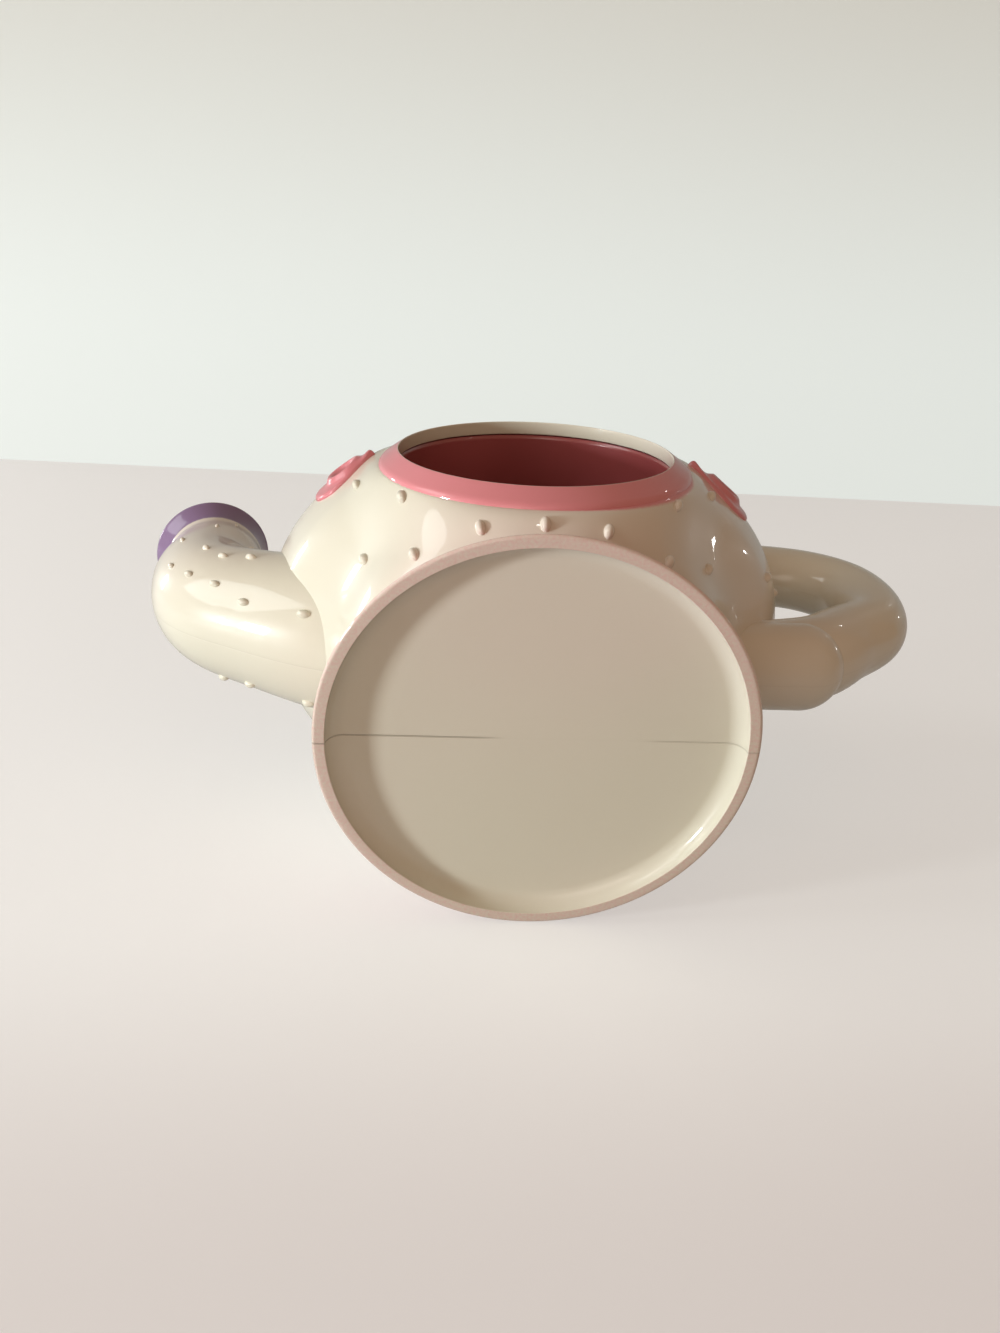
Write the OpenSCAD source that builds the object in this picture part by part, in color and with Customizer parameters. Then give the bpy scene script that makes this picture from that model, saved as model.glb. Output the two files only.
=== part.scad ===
// Toy teapot: two moulded half shells, an inner chamber behind a round window, and a lift-off lid.
// Modelled standing on its foot: +Z is up, the window faces -Y, the spout is at -X, the handle at +X.
// The origin is the centre of the foot's resting plane. All sizes are in millimetres.

/* [Shell] */
// Wall thickness of the two shells
wall = 2.4; // [1.8:0.2:3.2]
// Width of the body at its widest level, spout side to handle side
belly_w = 131; // [124:1:138]
// Depth of the body at its widest level, window side to back
belly_d = 102; // [98:1:108]
// Height of the widest level above the table
belly_z = 65; // [62:1:68]
// Height of the domed shoulder above the widest level
shoulder_h = 34; // [32:1:36]

/* [Foot] */
// Diameter of the foot as a share of the belly's width
foot_share = 0.7023; // [0.66:0.01:0.76]
// Width of the flat resting rim
rim_w = 2.7; // [2:0.1:3.4]
// Depth of the round recess under the foot
recess_h = 3.8; // [3:0.2:4.6]
// Height at which the flared foot meets the body
foot_h = 13; // [12:0.5:14]

/* [Window] */
// Clear diameter of the round opening
window_d = 63.5; // [58:0.5:66]
// Width of the raised, bevelled ring around the opening
ring_w = 4.6; // [3.6:0.2:5.4]
// Height of the window centre above the table
window_z = 56; // [54:0.5:58]
// Distance of the ring's front plane from the body axis
window_y = 46.8; // [45:0.2:48]
// Backward lean of the window, in degrees
window_lean = 2; // [0:0.5:4]
// Depth of the collar wall seen inside the opening
collar_h = 3.4; // [2.6:0.2:4.2]

/* [Chamber] */
// Wall thickness of the inner chamber
chamber_wall = 2; // [1.4:0.2:2.6]
// Inside depth of the chamber from its rim
chamber_depth = 72; // [60:1:74]
// Running clearance around the chamber's rim and the lid's plug
fit_gap = 0.3; // [0.2:0.05:0.4]

/* [Spout] */
// How far the middle of the spout's mouth stands out from the belly
spout_out = 23.5; // [20:0.5:28]
// Height of the spout mouth's centre
spout_z = 103; // [98:1:108]
// Diameter of the spout where it leaves the body
spout_d = 41; // [37:1:44]
// Diameter of the hole in the spout's mouth
mouth_d = 17; // [14:0.5:19]

/* [Handle] */
// How far the middle of the handle's loop stands out from the belly
handle_out = 28.5; // [26:0.5:32]
// Height of the handle's highest centre line point
handle_z = 97; // [93:1:101]
// Thickness of the handle
handle_d = 18; // [16:0.5:20]
// Diameter of the knuckle at the handle's lower root
knuckle_d = 21.4; // [20:0.2:23]

/* [Lid] */
// Diameter of the raised neck that carries the lid
neck_d = 53; // [50:1:56]
// Height of the neck's rim above the table
neck_z = 101; // [100:0.5:103]
// Depth of the well under the lid
well_h = 9; // [8:0.5:9.5]
// Diameter of the lid
lid_d = 57; // [55:1:60]
// Height of the lid's dome above the neck's rim
lid_h = 11; // [9:0.5:13]
// Diameter of the knob
knob_d = 15; // [12:0.5:17]

/* [Seeds] */
// Width of one raised seed
seed_w = 2.3; // [1.8:0.1:2.8]
// Length of one raised seed
seed_l = 3.8; // [3:0.1:4.6]
// Height of one raised seed above the skin
seed_h = 1.2; // [0.8:0.1:1.5]

/* [Bows] */
// Thickness of the bow loops beside the window
bow_t = 2; // [1.6:0.1:2.4]
// Length of a bow loop away from the window
bow_l = 20.5; // [18:0.5:24]
// Height of a bow loop
bow_h = 27; // [22:0.5:29]

/* [Screws] */
// Diameter of a screw's shank
screw_d = 2.4; // [2:0.1:2.8]
// Diameter of a screw's head
screw_head_d = 5; // [4.6:0.1:5.4]
// Outer diameter of the screw bosses
boss_d = 9; // [8.4:0.2:9.6]

/* [Hidden] */
$fn = 48;
cream = [0.90, 0.87, 0.79];
pink = [0.90, 0.50, 0.56];
deep_pink = [0.62, 0.24, 0.30];
steel = [0.62, 0.62, 0.64];
// Overrun of every cut past the face that it opens
over = 1;
foot_d = belly_w * foot_share;
// Reach of spout and handle from the middle of the pot
spout_reach = belly_w / 2 + spout_out;
handle_reach = belly_w / 2 + handle_out;
// Half of a box that is larger than the whole part
big = 2 * (spout_reach + handle_reach);

// Body outline: shares of the heights over which the sides close in towards the foot
side_fall_share = 1.29;
front_fall_share = 0.98;
side_power = 1.4;
front_power = 3;
// How finely a body form is cut: [sides, levels below the widest one, turns of the shoulder above it]
fine_mesh = [48, 8, [12, 24, 36, 48, 60, 70, 79]];
plain_mesh = [32, 5, [18, 36, 54, 70, 79]];
body_low = recess_h + wall;

function fall(z, reach, power) = pow(max(0, 1 - pow((belly_z - z) / reach, power)), 1 / power);
function half_w(z) = z < belly_z
    ? belly_w / 2 * fall(z, belly_z * side_fall_share, side_power)
    : belly_w / 2 * sqrt(max(0, 1 - pow((z - belly_z) / shoulder_h, 2)));
function half_d(z) = z < belly_z
    ? belly_d / 2 * fall(z, belly_z * front_fall_share, front_power)
    : belly_d / 2 * sqrt(max(0, 1 - pow((z - belly_z) / shoulder_h, 2)));

// Each level of the body is [height, half width, half depth], drawn in by an inset
function loft_levels(inset, mesh) = concat(
    [for (i = [0:mesh[1]]) let (z = body_low + (belly_z - body_low) * i / mesh[1])
        [z, half_w(z) - inset, half_d(z) - inset]],
    [for (a = mesh[2])
        [belly_z + (shoulder_h - inset) * sin(a),
         (belly_w / 2 - inset) * cos(a), (belly_d / 2 - inset) * cos(a)]]);

// A closed skin over rings that all have the same number of points
module skin(rings) {
    n = len(rings[0]);
    last = len(rings) - 1;
    quads = [for (i = [0:last - 1], j = [0:n - 1]) let (k = (j + 1) % n)
        each [[i * n + j, (i + 1) * n + j, (i + 1) * n + k], [i * n + j, (i + 1) * n + k, i * n + k]]];
    polyhedron(
        points = [for (r = rings) each r],
        faces = concat(quads, [[for (j = [0:n - 1]) j]], [[for (j = [n - 1:-1:0]) last * n + j]]),
        convexity = 8);
}

function loft_ring(level, mesh, from, to) = [for (j = [from:to]) let (a = 360 * j / mesh[0])
    [level[1] * cos(a), level[2] * sin(a), level[0]]];
module body_loft(inset, mesh) {
    skin([for (l = loft_levels(inset, mesh)) loft_ring(l, mesh, 0, mesh[0] - 1)]);
}
// A slice of the same body form, from its axis out to some of its sides and levels
module body_slice(inset, from, to, first, last) {
    levels = loft_levels(inset, fine_mesh);
    skin([for (i = [first:last]) concat(loft_ring(levels[i], fine_mesh, from, to), [[0, 0, levels[i][0]]])]);
}

// A smooth value between hand-chosen stations, after Catmull and Rom
function station(v, i) = v[min(max(i, 0), len(v) - 1)];
function between(v, t) = let (i = min(floor(t), len(v) - 2), f = t - i,
    a = station(v, i - 1), b = station(v, i), c = station(v, i + 1), d = station(v, i + 2))
    b + f * (c - a) / 2 + f * f * (a - 2.5 * b + 2 * c - d / 2) + f * f * f * (1.5 * (b - c) + (d - a) / 2);

// Spout and handle are tubes in the XZ plane, with a centre line [x, z] and a radius at each station
spout_x_shares = [0.36, 0.53, 0.70, 0.87, 0.95, 0.966, 0.98, 1];
spout_z_shares = [0.475, 0.505, 0.56, 0.64, 0.76, 0.89, 0.95, 1];
spout_r_shares = [1.02, 0.95, 0.865, 0.80, 0.72, 0.655, 0.64, 0.765];
handle_x_shares = [0.30, 0.635, 0.835, 0.965, 1, 0.96, 0.85, 0.735, 0.54];
handle_z_shares = [0.86, 1.01, 1.005, 0.915, 0.78, 0.64, 0.545, 0.46, 0.415];
handle_r_shares = [0.97, 0.97, 0.97, 0.99, 1.02, 1.04, 1.02, 1.02, 1.02];

function spout_at(t) = [-spout_reach * between(spout_x_shares, t), spout_z * between(spout_z_shares, t)];
function spout_r(t) = spout_d / 2 * between(spout_r_shares, t);
function handle_at(t) = [handle_reach * between(handle_x_shares, t), handle_z * between(handle_z_shares, t)];
function handle_r(t) = handle_d / 2 * between(handle_r_shares, t);
step_share = 0.05;
function heading(a, b) = let (d = b - a) d / norm(d);
function spout_way(t) = heading(spout_at(max(0, t - step_share)), spout_at(min(spout_end, t + step_share)));
function handle_way(t) = heading(handle_at(max(0, t - step_share)), handle_at(min(handle_end, t + step_share)));
spout_end = len(spout_x_shares) - 1;
handle_end = len(handle_x_shares) - 1;

// A ring of points across a tube: c is its centre [x, z], w its heading, r its radius
function tube_ring(c, w, r, n) = [for (j = [0:n - 1]) let (a = -360 * j / n)
    [c[0] - w[1] * r * cos(a), r * sin(a), c[1] + w[0] * r * cos(a)]];

spout_sides = 24;
handle_sides = 16;
bore_sides = 12;
// The lip rolls over in a small round beyond the mouth's centre
lip_roll_shares = [[0.06, 0.985], [0.11, 0.93]];

module spout_form() {
    tip = spout_at(spout_end);
    way = spout_way(spout_end);
    lip_r = spout_r(spout_end);
    skin(concat(
        [for (t = [0:0.5:spout_end]) tube_ring(spout_at(t), spout_way(t), spout_r(t), spout_sides)],
        [for (s = lip_roll_shares) tube_ring(tip + way * s[0] * lip_r, way, s[1] * lip_r, spout_sides)]));
}
module spout_core() {
    skin([for (t = [0:spout_end - 1]) tube_ring(spout_at(t), spout_way(t), spout_r(t) - wall / 2, bore_sides)]);
}

module spout_bore() {
    tip = spout_at(spout_end);
    way = spout_way(spout_end);
    neck_t = spout_end - 1;
    skin(concat(
        [for (t = [0:1:neck_t - 1])
            tube_ring(spout_at(t), spout_way(t), spout_r(t) - wall, bore_sides)],
        [tube_ring(spout_at(neck_t), spout_way(neck_t), mouth_d / 2, bore_sides)],
        [tube_ring(tip + way * spout_d, way, mouth_d / 2, bore_sides)]));
}

module handle_form(inset, sides, step) {
    skin([for (t = [0:step:handle_end])
        tube_ring(handle_at(t), handle_way(t), handle_r(t) - inset, sides)]);
}

// The knuckle is a round-ended stub along X that carries the handle's lower end
knuckle_x_share = 0.695;
knuckle_z_share = 0.415;
knuckle_root_share = 0.8;
knuckle_x = handle_reach * knuckle_x_share;
knuckle_z = handle_z * knuckle_z_share;
module knuckle(inset) {
    r = knuckle_d / 2 - inset;
    root_x = half_w(knuckle_z) * knuckle_root_share;
    translate([root_x, 0, knuckle_z]) rotate([0, 90, 0]) cylinder(r = r, h = knuckle_x - root_x);
    translate([knuckle_x, 0, knuckle_z]) sphere(r = r);
}

// Foot: a flared ring with a shallow dished recess
recess_slope_w = 3.6;
floor_t = wall;
waist_r = half_w(foot_h) - wall / 2;
flare_shares = [[0, 1], [0.08, 0.995], [0.26, 0.72], [0.48, 0.42], [0.72, 0.18], [1, 0]];
module foot_form() {
    rim_in = foot_d / 2 - rim_w;
    flare = foot_d / 2 - waist_r;
    rotate_extrude($fn = 96) polygon(concat(
        [[0, recess_h]],
        [for (a = [90:-22.5:0]) [rim_in - recess_slope_w * (1 - cos(a)), recess_h * sin(a)]],
        [for (s = flare_shares) [waist_r + flare * s[1], foot_h * s[0]]],
        [[0, foot_h]]));
}
module foot_hollow() {
    low = recess_h + floor_t;
    rotate_extrude() polygon([
        [0, low], [waist_r + wall / 4, low], [waist_r - wall, foot_h - wall], [waist_r - wall, foot_h + over],
        [0, foot_h + over]]);
}

// Window: everything around the opening is turned about its leaning axis; its own +Z points inwards
ring_r = window_d / 2 + ring_w;
bevel_h = 3.2;
seat_r = window_d / 2 + chamber_wall + fit_gap;
chamber_end = collar_h + fit_gap + chamber_depth + chamber_wall;
block_h = 12.5;
module window_place() {
    translate([0, -window_y, window_z]) rotate([-90 - window_lean, 0, 0]) children();
}
module window_ring() {
    window_place() rotate_extrude($fn = 96) polygon([
        [window_d / 2, 0], [ring_r, bevel_h], [ring_r, block_h],
        [seat_r, block_h], [seat_r, collar_h], [window_d / 2, collar_h]]);
}
module window_cut() {
    window_place() {
        translate([0, 0, -belly_d / 4]) cylinder(r = ring_r - over, h = belly_d / 4 + bevel_h, $fn = 96);
        cylinder(r = seat_r, h = chamber_end - fit_gap, $fn = 96);
    }
}

// Lid neck and well
well_r = neck_d / 2 - wall;
well_floor = neck_z - well_h;
module neck_form() {
    translate([0, 0, well_floor - wall / 2]) cylinder(d = neck_d, h = well_h + wall / 2, $fn = 96);
}
module well_cut() {
    translate([0, 0, well_floor]) cylinder(r = well_r, h = well_h + over, $fn = 96);
}

// Screw bosses run along Y. Each is [x, z, distance of the head's seat behind the seam]
low_boss_rise_share = 0.75;
low_boss_z = foot_h + boss_d * low_boss_rise_share;
top_boss_rise_share = 0.4;
top_boss_z = belly_z + shoulder_h * top_boss_rise_share;
low_boss_share = 0.68;
top_boss_share = 0.7;
seat_share = 0.5;
grip = 9;
spout_boss_t = 3;
function boss_seat(x, z) = seat_share * half_d(z) * sqrt(1 - pow(x / half_w(z), 2));
body_bosses = [for (s = [-1, 1])
    each [[s * low_boss_share * half_w(low_boss_z), low_boss_z],
        [s * top_boss_share * half_w(top_boss_z), top_boss_z]]];
bosses = concat(
    [for (b = body_bosses) [b[0], b[1], boss_seat(b[0], b[1])]],
    [concat(spout_at(spout_boss_t), [seat_share * spout_r(spout_boss_t)])],
    [[knuckle_x - knuckle_d / 4, knuckle_z, seat_share * knuckle_d / 2]]);

module boss_posts() {
    for (b = bosses) translate([b[0], big / 2, b[1]]) rotate([90, 0, 0]) cylinder(d = boss_d, h = big);
}
module along_y(b, from, to, d) {
    translate([b[0], from, b[1]]) rotate([-90, 0, 0]) cylinder(d = d, h = to - from);
}

// Seeds stand on the skin in staggered rows, long axis up the slope
seed_sides = 6;
// Rings of a seed from its sunk base to its top: [share of its height, share of its outline]
seed_ring_shares = [[-0.7, 1], [0.35, 0.9], [0.85, 0.55]];
module seed(size_share) {
    skin([for (s = seed_ring_shares)
        [for (j = [0:seed_sides - 1]) let (a = -360 * j / seed_sides)
            [seed_h * s[0], seed_w / 2 * s[1] * sin(a), seed_l / 2 * s[1] * size_share * cos(a)]]]);
}
module seed_on(p, out_az, slope) {
    translate(p) rotate([0, 0, out_az]) rotate([0, slope, 0]) seed(1);
}
function skin_point(az, z) = [half_w(z) * sin(az), -half_d(z) * cos(az), z];
function flat_r(az, z) = norm([skin_point(az, z)[0], skin_point(az, z)[1]]);
function skin_slope(az, z) = atan2(flat_r(az, z + over) - flat_r(az, z - over), 2 * over);
function window_clear(p) = norm([p[0], p[2] - window_z]) > ring_r + seed_l / 2 + fit_gap || p[1] > 0;
spout_root_share = 0.5;
spout_tall_share = 0.8;
function spout_clear(p) = p[0] > 0
    || norm([p[1], (p[2] - spout_z * spout_root_share) * spout_tall_share]) > spout_d / 2 + seed_l;
handle_root_share = 0.96;
function handle_clear(p) = p[0] < 0 || min(norm([p[1], p[2] - knuckle_z]) - knuckle_d / 2,
    norm([p[1], p[2] - handle_z * handle_root_share]) - handle_d / 2) > seed_l;
// A seed stays off a bow: [away from the window, up] is its place on the bow's own plane
function on_bow(p) = [(abs(p[0]) - bow_at[0]) * cos(bow_turn) + (p[1] - bow_at[1]) * sin(bow_turn), p[2] - bow_z];
function bow_reach(u) = bow_h * (bow_waist_share
    + (1 / 2 - bow_waist_share) * min(1, max(0, (u + bow_l / 2) / (bow_l - bow_h / 4))));
function bow_clear(p) = let (q = on_bow(p)) p[1] > 0 || abs(q[0]) > bow_l / 2 + seed_w
    || abs(q[1]) > bow_reach(q[0]) + seed_l / 2;
function boss_clear(p) = p[1] < 0
    || min([for (b = bosses) norm([p[0] - b[0], p[2] - b[1]])]) > boss_d / 2 + seed_l / 2;
// Seeds of one side, mirrored to the other: [turn from the window, height as a share of the widest level]
seed_shares = [[0, 0.245], [18, 0.26], [38, 0.288], [58.5, 0.297], [78, 0.297], [102, 0.297],
    [121.5, 0.297], [141, 0.297], [160.5, 0.297], [180, 0.297], [50, 0.467], [68, 0.453], [111, 0.453],
    [131, 0.453], [150, 0.453], [170, 0.453], [36, 0.49], [60, 0.62], [80, 0.62], [100, 0.62],
    [121, 0.62], [141, 0.62], [161, 0.62], [180, 0.62], [42, 0.773], [69, 0.8], [111, 0.8], [131, 0.8],
    [151, 0.8], [171, 0.8], [63, 1], [80, 1], [100, 1], [121, 1], [141, 1], [161, 1], [180, 1],
    [50, 1.18], [70, 1.18], [110, 1.18], [130, 1.18], [150, 1.18], [170, 1.18], [58, 1.33], [82, 1.33],
    [98, 1.33], [122, 1.33], [144, 1.33], [165, 1.33], [72, 1.45], [108, 1.45], [150, 1.45]];
module body_seeds(side) {
    for (row = seed_shares, m = row[0] % 180 == 0 ? [1] : [-1, 1]) {
        az = m * row[0];
        p = skin_point(az, belly_z * row[1]);
        if (side * p[1] > seed_w && window_clear(p) && spout_clear(p) && handle_clear(p) && boss_clear(p)
            && bow_clear(p))
            seed_on(p, az - 90, skin_slope(az, p[2]));
    }
}
// Seeds on the window side of the spout and, mirrored, on its back: [station, turn about the centre line]
spout_seed_places = [[1.06, 143], [1.98, 142], [2.52, 132], [2.94, 130], [3.35, 132], [3.19, 98], [4.85, 82],
    [4.09, 112], [2.71, 102], [2.31, 97], [3.05, 55], [3.9, 40], [4.7, 30], [5.6, 60]];
spout_seed_share = 0.75;
module spout_seeds(side) {
    for (s = spout_seed_places) {
        c = spout_at(s[0]);
        w = spout_way(s[0]);
        if (side < 0 || norm([c[0] - bosses[4][0], c[1] - bosses[4][1]]) > boss_d / 2)
            translate([c[0], 0, c[1]]) rotate([0, atan2(w[0], w[1]), 0]) rotate([0, 0, side * s[1]])
                translate([spout_r(s[0]), 0, 0]) seed(spout_seed_share);
    }
}

module outer_form(side) {
    difference() {
        union() {
            body_loft(0, fine_mesh);
            foot_form();
            spout_form();
            handle_form(0, handle_sides, 0.5);
            knuckle(0);
            neck_form();
        }
        window_cut();
    }
    window_ring();
    body_seeds(side);
    spout_seeds(side);
}
module inner_form() {
    difference() {
        union() {
            body_loft(wall, plain_mesh);
            foot_hollow();
            knuckle(wall);
            handle_form(wall, bore_sides, 1);
            spout_bore();
        }
        translate([0, 0, well_floor - wall / 2]) cylinder(d = neck_d, h = well_h * 2);
        window_ring();
    }
}
// The post on the back shell that holds the chamber against the collar
post_d = 20;
module chamber_post() {
    window_place() translate([0, 0, chamber_end]) difference() {
        cylinder(d = post_d, h = belly_d / 2);
        translate([0, 0, -over]) cylinder(d = post_d - 2 * wall, h = belly_d / 2 + 2 * over);
    }
}
module clip_inside() {
    body_loft(wall / 2, plain_mesh);
    spout_core();
    knuckle(wall / 2);
}

module shell_half(side) {
    intersection() {
        union() {
            difference() {
                outer_form(side);
                inner_form();
            }
            intersection() {
                boss_posts();
                clip_inside();
            }
        }
        translate([-big / 2, side < 0 ? -big : 0, -big / 2]) cube([big, big, big]);
    }
}

// Front half of the pot, with the window collar and the screws' pilot holes
module front_shell() {
    color(cream) difference() {
        shell_half(-1);
        well_cut();
        for (b = bosses) along_y(b, -grip, over, screw_d + fit_gap / 4);
        for (s = [-1, 1]) bow_peg(s, fit_gap / 4);
    }
}

// Back half of the pot, with the screws' seats and the chamber's post
module back_shell() {
    color(cream) difference() {
        union() {
            shell_half(1);
            intersection() {
                chamber_post();
                body_loft(wall / 2, plain_mesh);
            }
        }
        well_cut();
        for (b = bosses) {
            along_y(b, -over, b[2] + over, screw_d + fit_gap);
            along_y(b, b[2], big / 2, screw_head_d + 2 * fit_gap);
        }
    }
}

// Round-bottomed chamber behind the window
chamber_round = 20;
module chamber() {
    r = window_d / 2 + chamber_wall;
    low = collar_h + fit_gap;
    color(deep_pink) window_place() difference() {
        translate([0, 0, low]) rounded_cup(r, chamber_depth + chamber_wall, chamber_round);
        translate([0, 0, low - over])
            rounded_cup(window_d / 2, chamber_depth + over, chamber_round - chamber_wall);
    }
}
module rounded_cup(r, h, round_r) {
    rotate_extrude($fn = 96) polygon(concat(
        [[0, 0], [r, 0]],
        [for (a = [0:15:90]) [r - round_r * (1 - cos(a)), h - round_r * (1 - sin(a))]],
        [[0, h]]));
}

// Bow loops: thin lobes that follow the skin beside the window, each on a peg
bow_rise_share = 0.2;
bow_z = window_z + bow_h * bow_rise_share;
// A bow starts beside the window's ring, whatever the body's width
bow_away_share = 0.475;
bow_az = asin(min(0.95, (ring_r + bow_l * bow_away_share) / half_w(bow_z)));
bow_at = skin_point(bow_az, bow_z);
// The turn at which the skin faces there
bow_turn = atan2(bow_at[0] / pow(half_w(bow_z), 2), -bow_at[1] / pow(half_d(bow_z), 2));
bow_waist_share = 0.1;
peg_d = 3;
peg_reach = 2;
// The sides and levels of the fine body form that lie behind a bow, as shares of all of them
left_side_shares = [0.52, 0.71];
right_side_shares = [0.79, 0.98];
bow_level_shares = [0.25, 0.69];
level_count = fine_mesh[1] + 1 + len(fine_mesh[2]);
module bow_outline() {
    // two overlapping rounds and a narrow waist towards the window
    lobe = bow_h / 4;
    union() {
        translate([bow_l / 2 - lobe, lobe]) circle(r = lobe);
        translate([bow_l / 2 - lobe, -lobe]) circle(r = lobe);
        polygon([[-bow_l / 2, -bow_h * bow_waist_share], [bow_l / 2 - lobe, -bow_h / 2],
            [bow_l / 2 - lobe, bow_h / 2], [-bow_l / 2, bow_h * bow_waist_share]]);
    }
}
module bow_place(side) {
    translate([side * bow_at[0], bow_at[1], bow_z]) rotate([0, 0, side * bow_turn]) rotate([90, 0, 0])
        mirror([side < 0 ? 1 : 0, 0, 0]) children();
}
module bow_peg(side, gap) {
    bow_place(side) translate([0, 0, -wall - peg_reach])
        cylinder(d = peg_d + 2 * gap, h = wall + peg_reach + bow_t / 2);
}
// A bow keeps clear of the spout's root
module spout_root_cut() {
    root = spout_at(0);
    translate([root[0], 0, root[1]]) rotate([0, -90, 0]) cylinder(r = spout_r(0) + fit_gap, h = belly_w / 2);
}
module bow(side) {
    sides = [for (s = side < 0 ? left_side_shares : right_side_shares) round(s * fine_mesh[0])];
    levels = [for (s = bow_level_shares) round(s * level_count)];
    color(pink) difference() {
        intersection() {
            bow_place(side) translate([0, 0, -bow_l / 2]) linear_extrude(height = bow_l) bow_outline();
            body_slice(-bow_t, sides[0], sides[1], levels[0], levels[1]);
        }
        body_slice(0, sides[0], sides[1], levels[0] - 1, levels[1] + 1);
        if (side < 0) spout_root_cut();
        window_place() translate([0, 0, -belly_d / 2]) cylinder(r = ring_r + fit_gap, h = belly_d, $fn = 96);
    }
    color(pink) bow_peg(side, 0);
}
module left_bow() bow(-1);
module right_bow() bow(1);

// One screw: pan head, plain shank
screw_head_h = 1.8;
module screw(length) {
    cylinder(d = screw_d, h = length);
    translate([0, 0, -screw_head_h]) cylinder(d = screw_head_d, h = screw_head_h);
}
module shell_screws() {
    color(steel) for (b = bosses)
        translate([b[0], b[2], b[1]]) rotate([90, 0, 0]) screw(b[2] + grip - over);
}

// Lid: a hollow dome with a plug ring, seated on the neck
lid_base = neck_z + fit_gap;
plug_h = 5;
lid_wall = 2;
lid_edge_h = 2;
module lid() {
    r = lid_d / 2;
    plug_r = well_r - fit_gap;
    color(cream) difference() {
        union() {
            translate([0, 0, lid_base]) rotate_extrude($fn = 96) polygon(concat(
                [[0, 0], [r - lid_edge_h / 2, 0], [r, lid_edge_h / 2]],
                [for (a = [0:10:80]) [r * cos(a), lid_edge_h + (lid_h - lid_edge_h) * sin(a)]],
                [[0, lid_h]]));
            translate([0, 0, lid_base - plug_h]) cylinder(r = plug_r, h = plug_h + lid_edge_h / 2, $fn = 96);
        }
        translate([0, 0, lid_base - plug_h - over])
            cylinder(r = plug_r - lid_wall, h = plug_h + over + lid_edge_h / 2, $fn = 96);
        translate([0, 0, lid_base]) rotate_extrude($fn = 96) polygon(concat(
            [[0, lid_edge_h / 2 - over]],
            [for (a = [0:15:75])
                [(plug_r - lid_wall) * cos(a), lid_edge_h / 2 + (lid_h - lid_wall - lid_edge_h / 2) * sin(a)]],
            [[0, lid_h - lid_wall]]));
        translate([0, 0, lid_base]) cylinder(d = screw_d + fit_gap, h = lid_h + over);
        translate([0, 0, lid_base + lid_h - lid_wall - screw_head_h])
            cylinder(d = screw_head_d + 2 * fit_gap, h = screw_head_h);
    }
}

// Knob: a ball on a short neck, held by a screw from inside the lid
knob_neck_h = 3;
knob_neck_share = 0.5;
knob_foot_share = 0.75;
knob_rise_share = 0.8;
module lid_knob() {
    r = knob_d / 2;
    low = lid_base + lid_h;
    ball_z = knob_neck_h + r * knob_rise_share;
    color(pink) translate([0, 0, low]) difference() {
        union() {
            cylinder(d1 = knob_d * knob_foot_share, d2 = knob_d * knob_neck_share, h = knob_neck_h);
            cylinder(d = knob_d * knob_neck_share, h = ball_z);
            translate([0, 0, ball_z]) sphere(r = r);
        }
        translate([0, 0, -over]) cylinder(d = screw_d + fit_gap / 4, h = grip + over);
    }
}
module knob_screw() {
    color(steel) translate([0, 0, lid_base + lid_h - lid_wall]) screw(lid_wall + grip - over);
}

front_shell();
back_shell();
chamber();
left_bow();
right_bow();
shell_screws();
lid();
lid_knob();
knob_screw();
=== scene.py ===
# %% [markdown]
# # A toy teapot with a window
# This notebook dresses a pretend-play teapot: a pearl cream pot moulded in two halves, with a round window,
# a bent spout, a loop handle and a lift-off lid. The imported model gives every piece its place, and the
# surfaces below give it smooth form, paint and gloss. All outlines are written in millimetres.

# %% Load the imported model
import bmesh
import bpy
import numpy as np
from mathutils import Matrix


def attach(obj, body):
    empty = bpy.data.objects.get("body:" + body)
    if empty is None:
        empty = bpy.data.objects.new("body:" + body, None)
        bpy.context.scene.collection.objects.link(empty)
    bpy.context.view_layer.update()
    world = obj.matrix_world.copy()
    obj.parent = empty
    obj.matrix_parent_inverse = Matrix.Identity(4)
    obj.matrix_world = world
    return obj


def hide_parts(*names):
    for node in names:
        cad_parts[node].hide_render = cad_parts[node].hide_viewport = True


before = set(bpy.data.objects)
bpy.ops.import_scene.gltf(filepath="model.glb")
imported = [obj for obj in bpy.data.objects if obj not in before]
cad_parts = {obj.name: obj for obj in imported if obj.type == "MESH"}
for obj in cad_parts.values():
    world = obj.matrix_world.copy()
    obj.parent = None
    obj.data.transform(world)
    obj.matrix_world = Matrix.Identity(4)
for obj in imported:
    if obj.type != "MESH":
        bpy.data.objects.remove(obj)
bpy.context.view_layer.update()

MM = 0.001
print("nodes:", sorted(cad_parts))

# %% [markdown]
# ## The camera
# The pot was photographed lying on its back, with the foot towards a phone held about 20 cm away. The camera
# could be placed by eye, but here its three axes were solved from the ellipse of the foot's rim, so the
# picture lines up with the photograph. The lens is stated on the long side of the frame.

# %% Camera
frame_w_px, frame_h_px, focal_px = 1000, 1333, 1000
eye = np.array([-16.04, -107.73, -173.36])
right = np.array([0.999, -0.040, -0.023])
down = np.array([0.025, 0.889, -0.458])
ahead = np.array([0.039, 0.457, 0.889])

camera_data = bpy.data.cameras.new("camera")
camera_data.sensor_fit = "VERTICAL"
camera_data.sensor_height = 36
camera_data.lens = camera_data.sensor_height * focal_px / frame_h_px
camera_data.clip_start = 0.01
camera = bpy.data.objects.new("camera", camera_data)
solved = np.stack([right, -down, -ahead], axis=1)
turn, _ = np.linalg.qr(solved)
turn *= np.sign(np.sum(turn * solved, axis=0))
pose = np.eye(4)
pose[:3, :3], pose[:3, 3] = turn, eye * MM
camera.matrix_world = Matrix(pose.tolist())
bpy.context.collection.objects.link(camera)
bpy.context.scene.camera = camera
bpy.context.scene.view_settings.view_transform = "Standard"
print("lens", round(camera_data.lens, 2), "mm")

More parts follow.
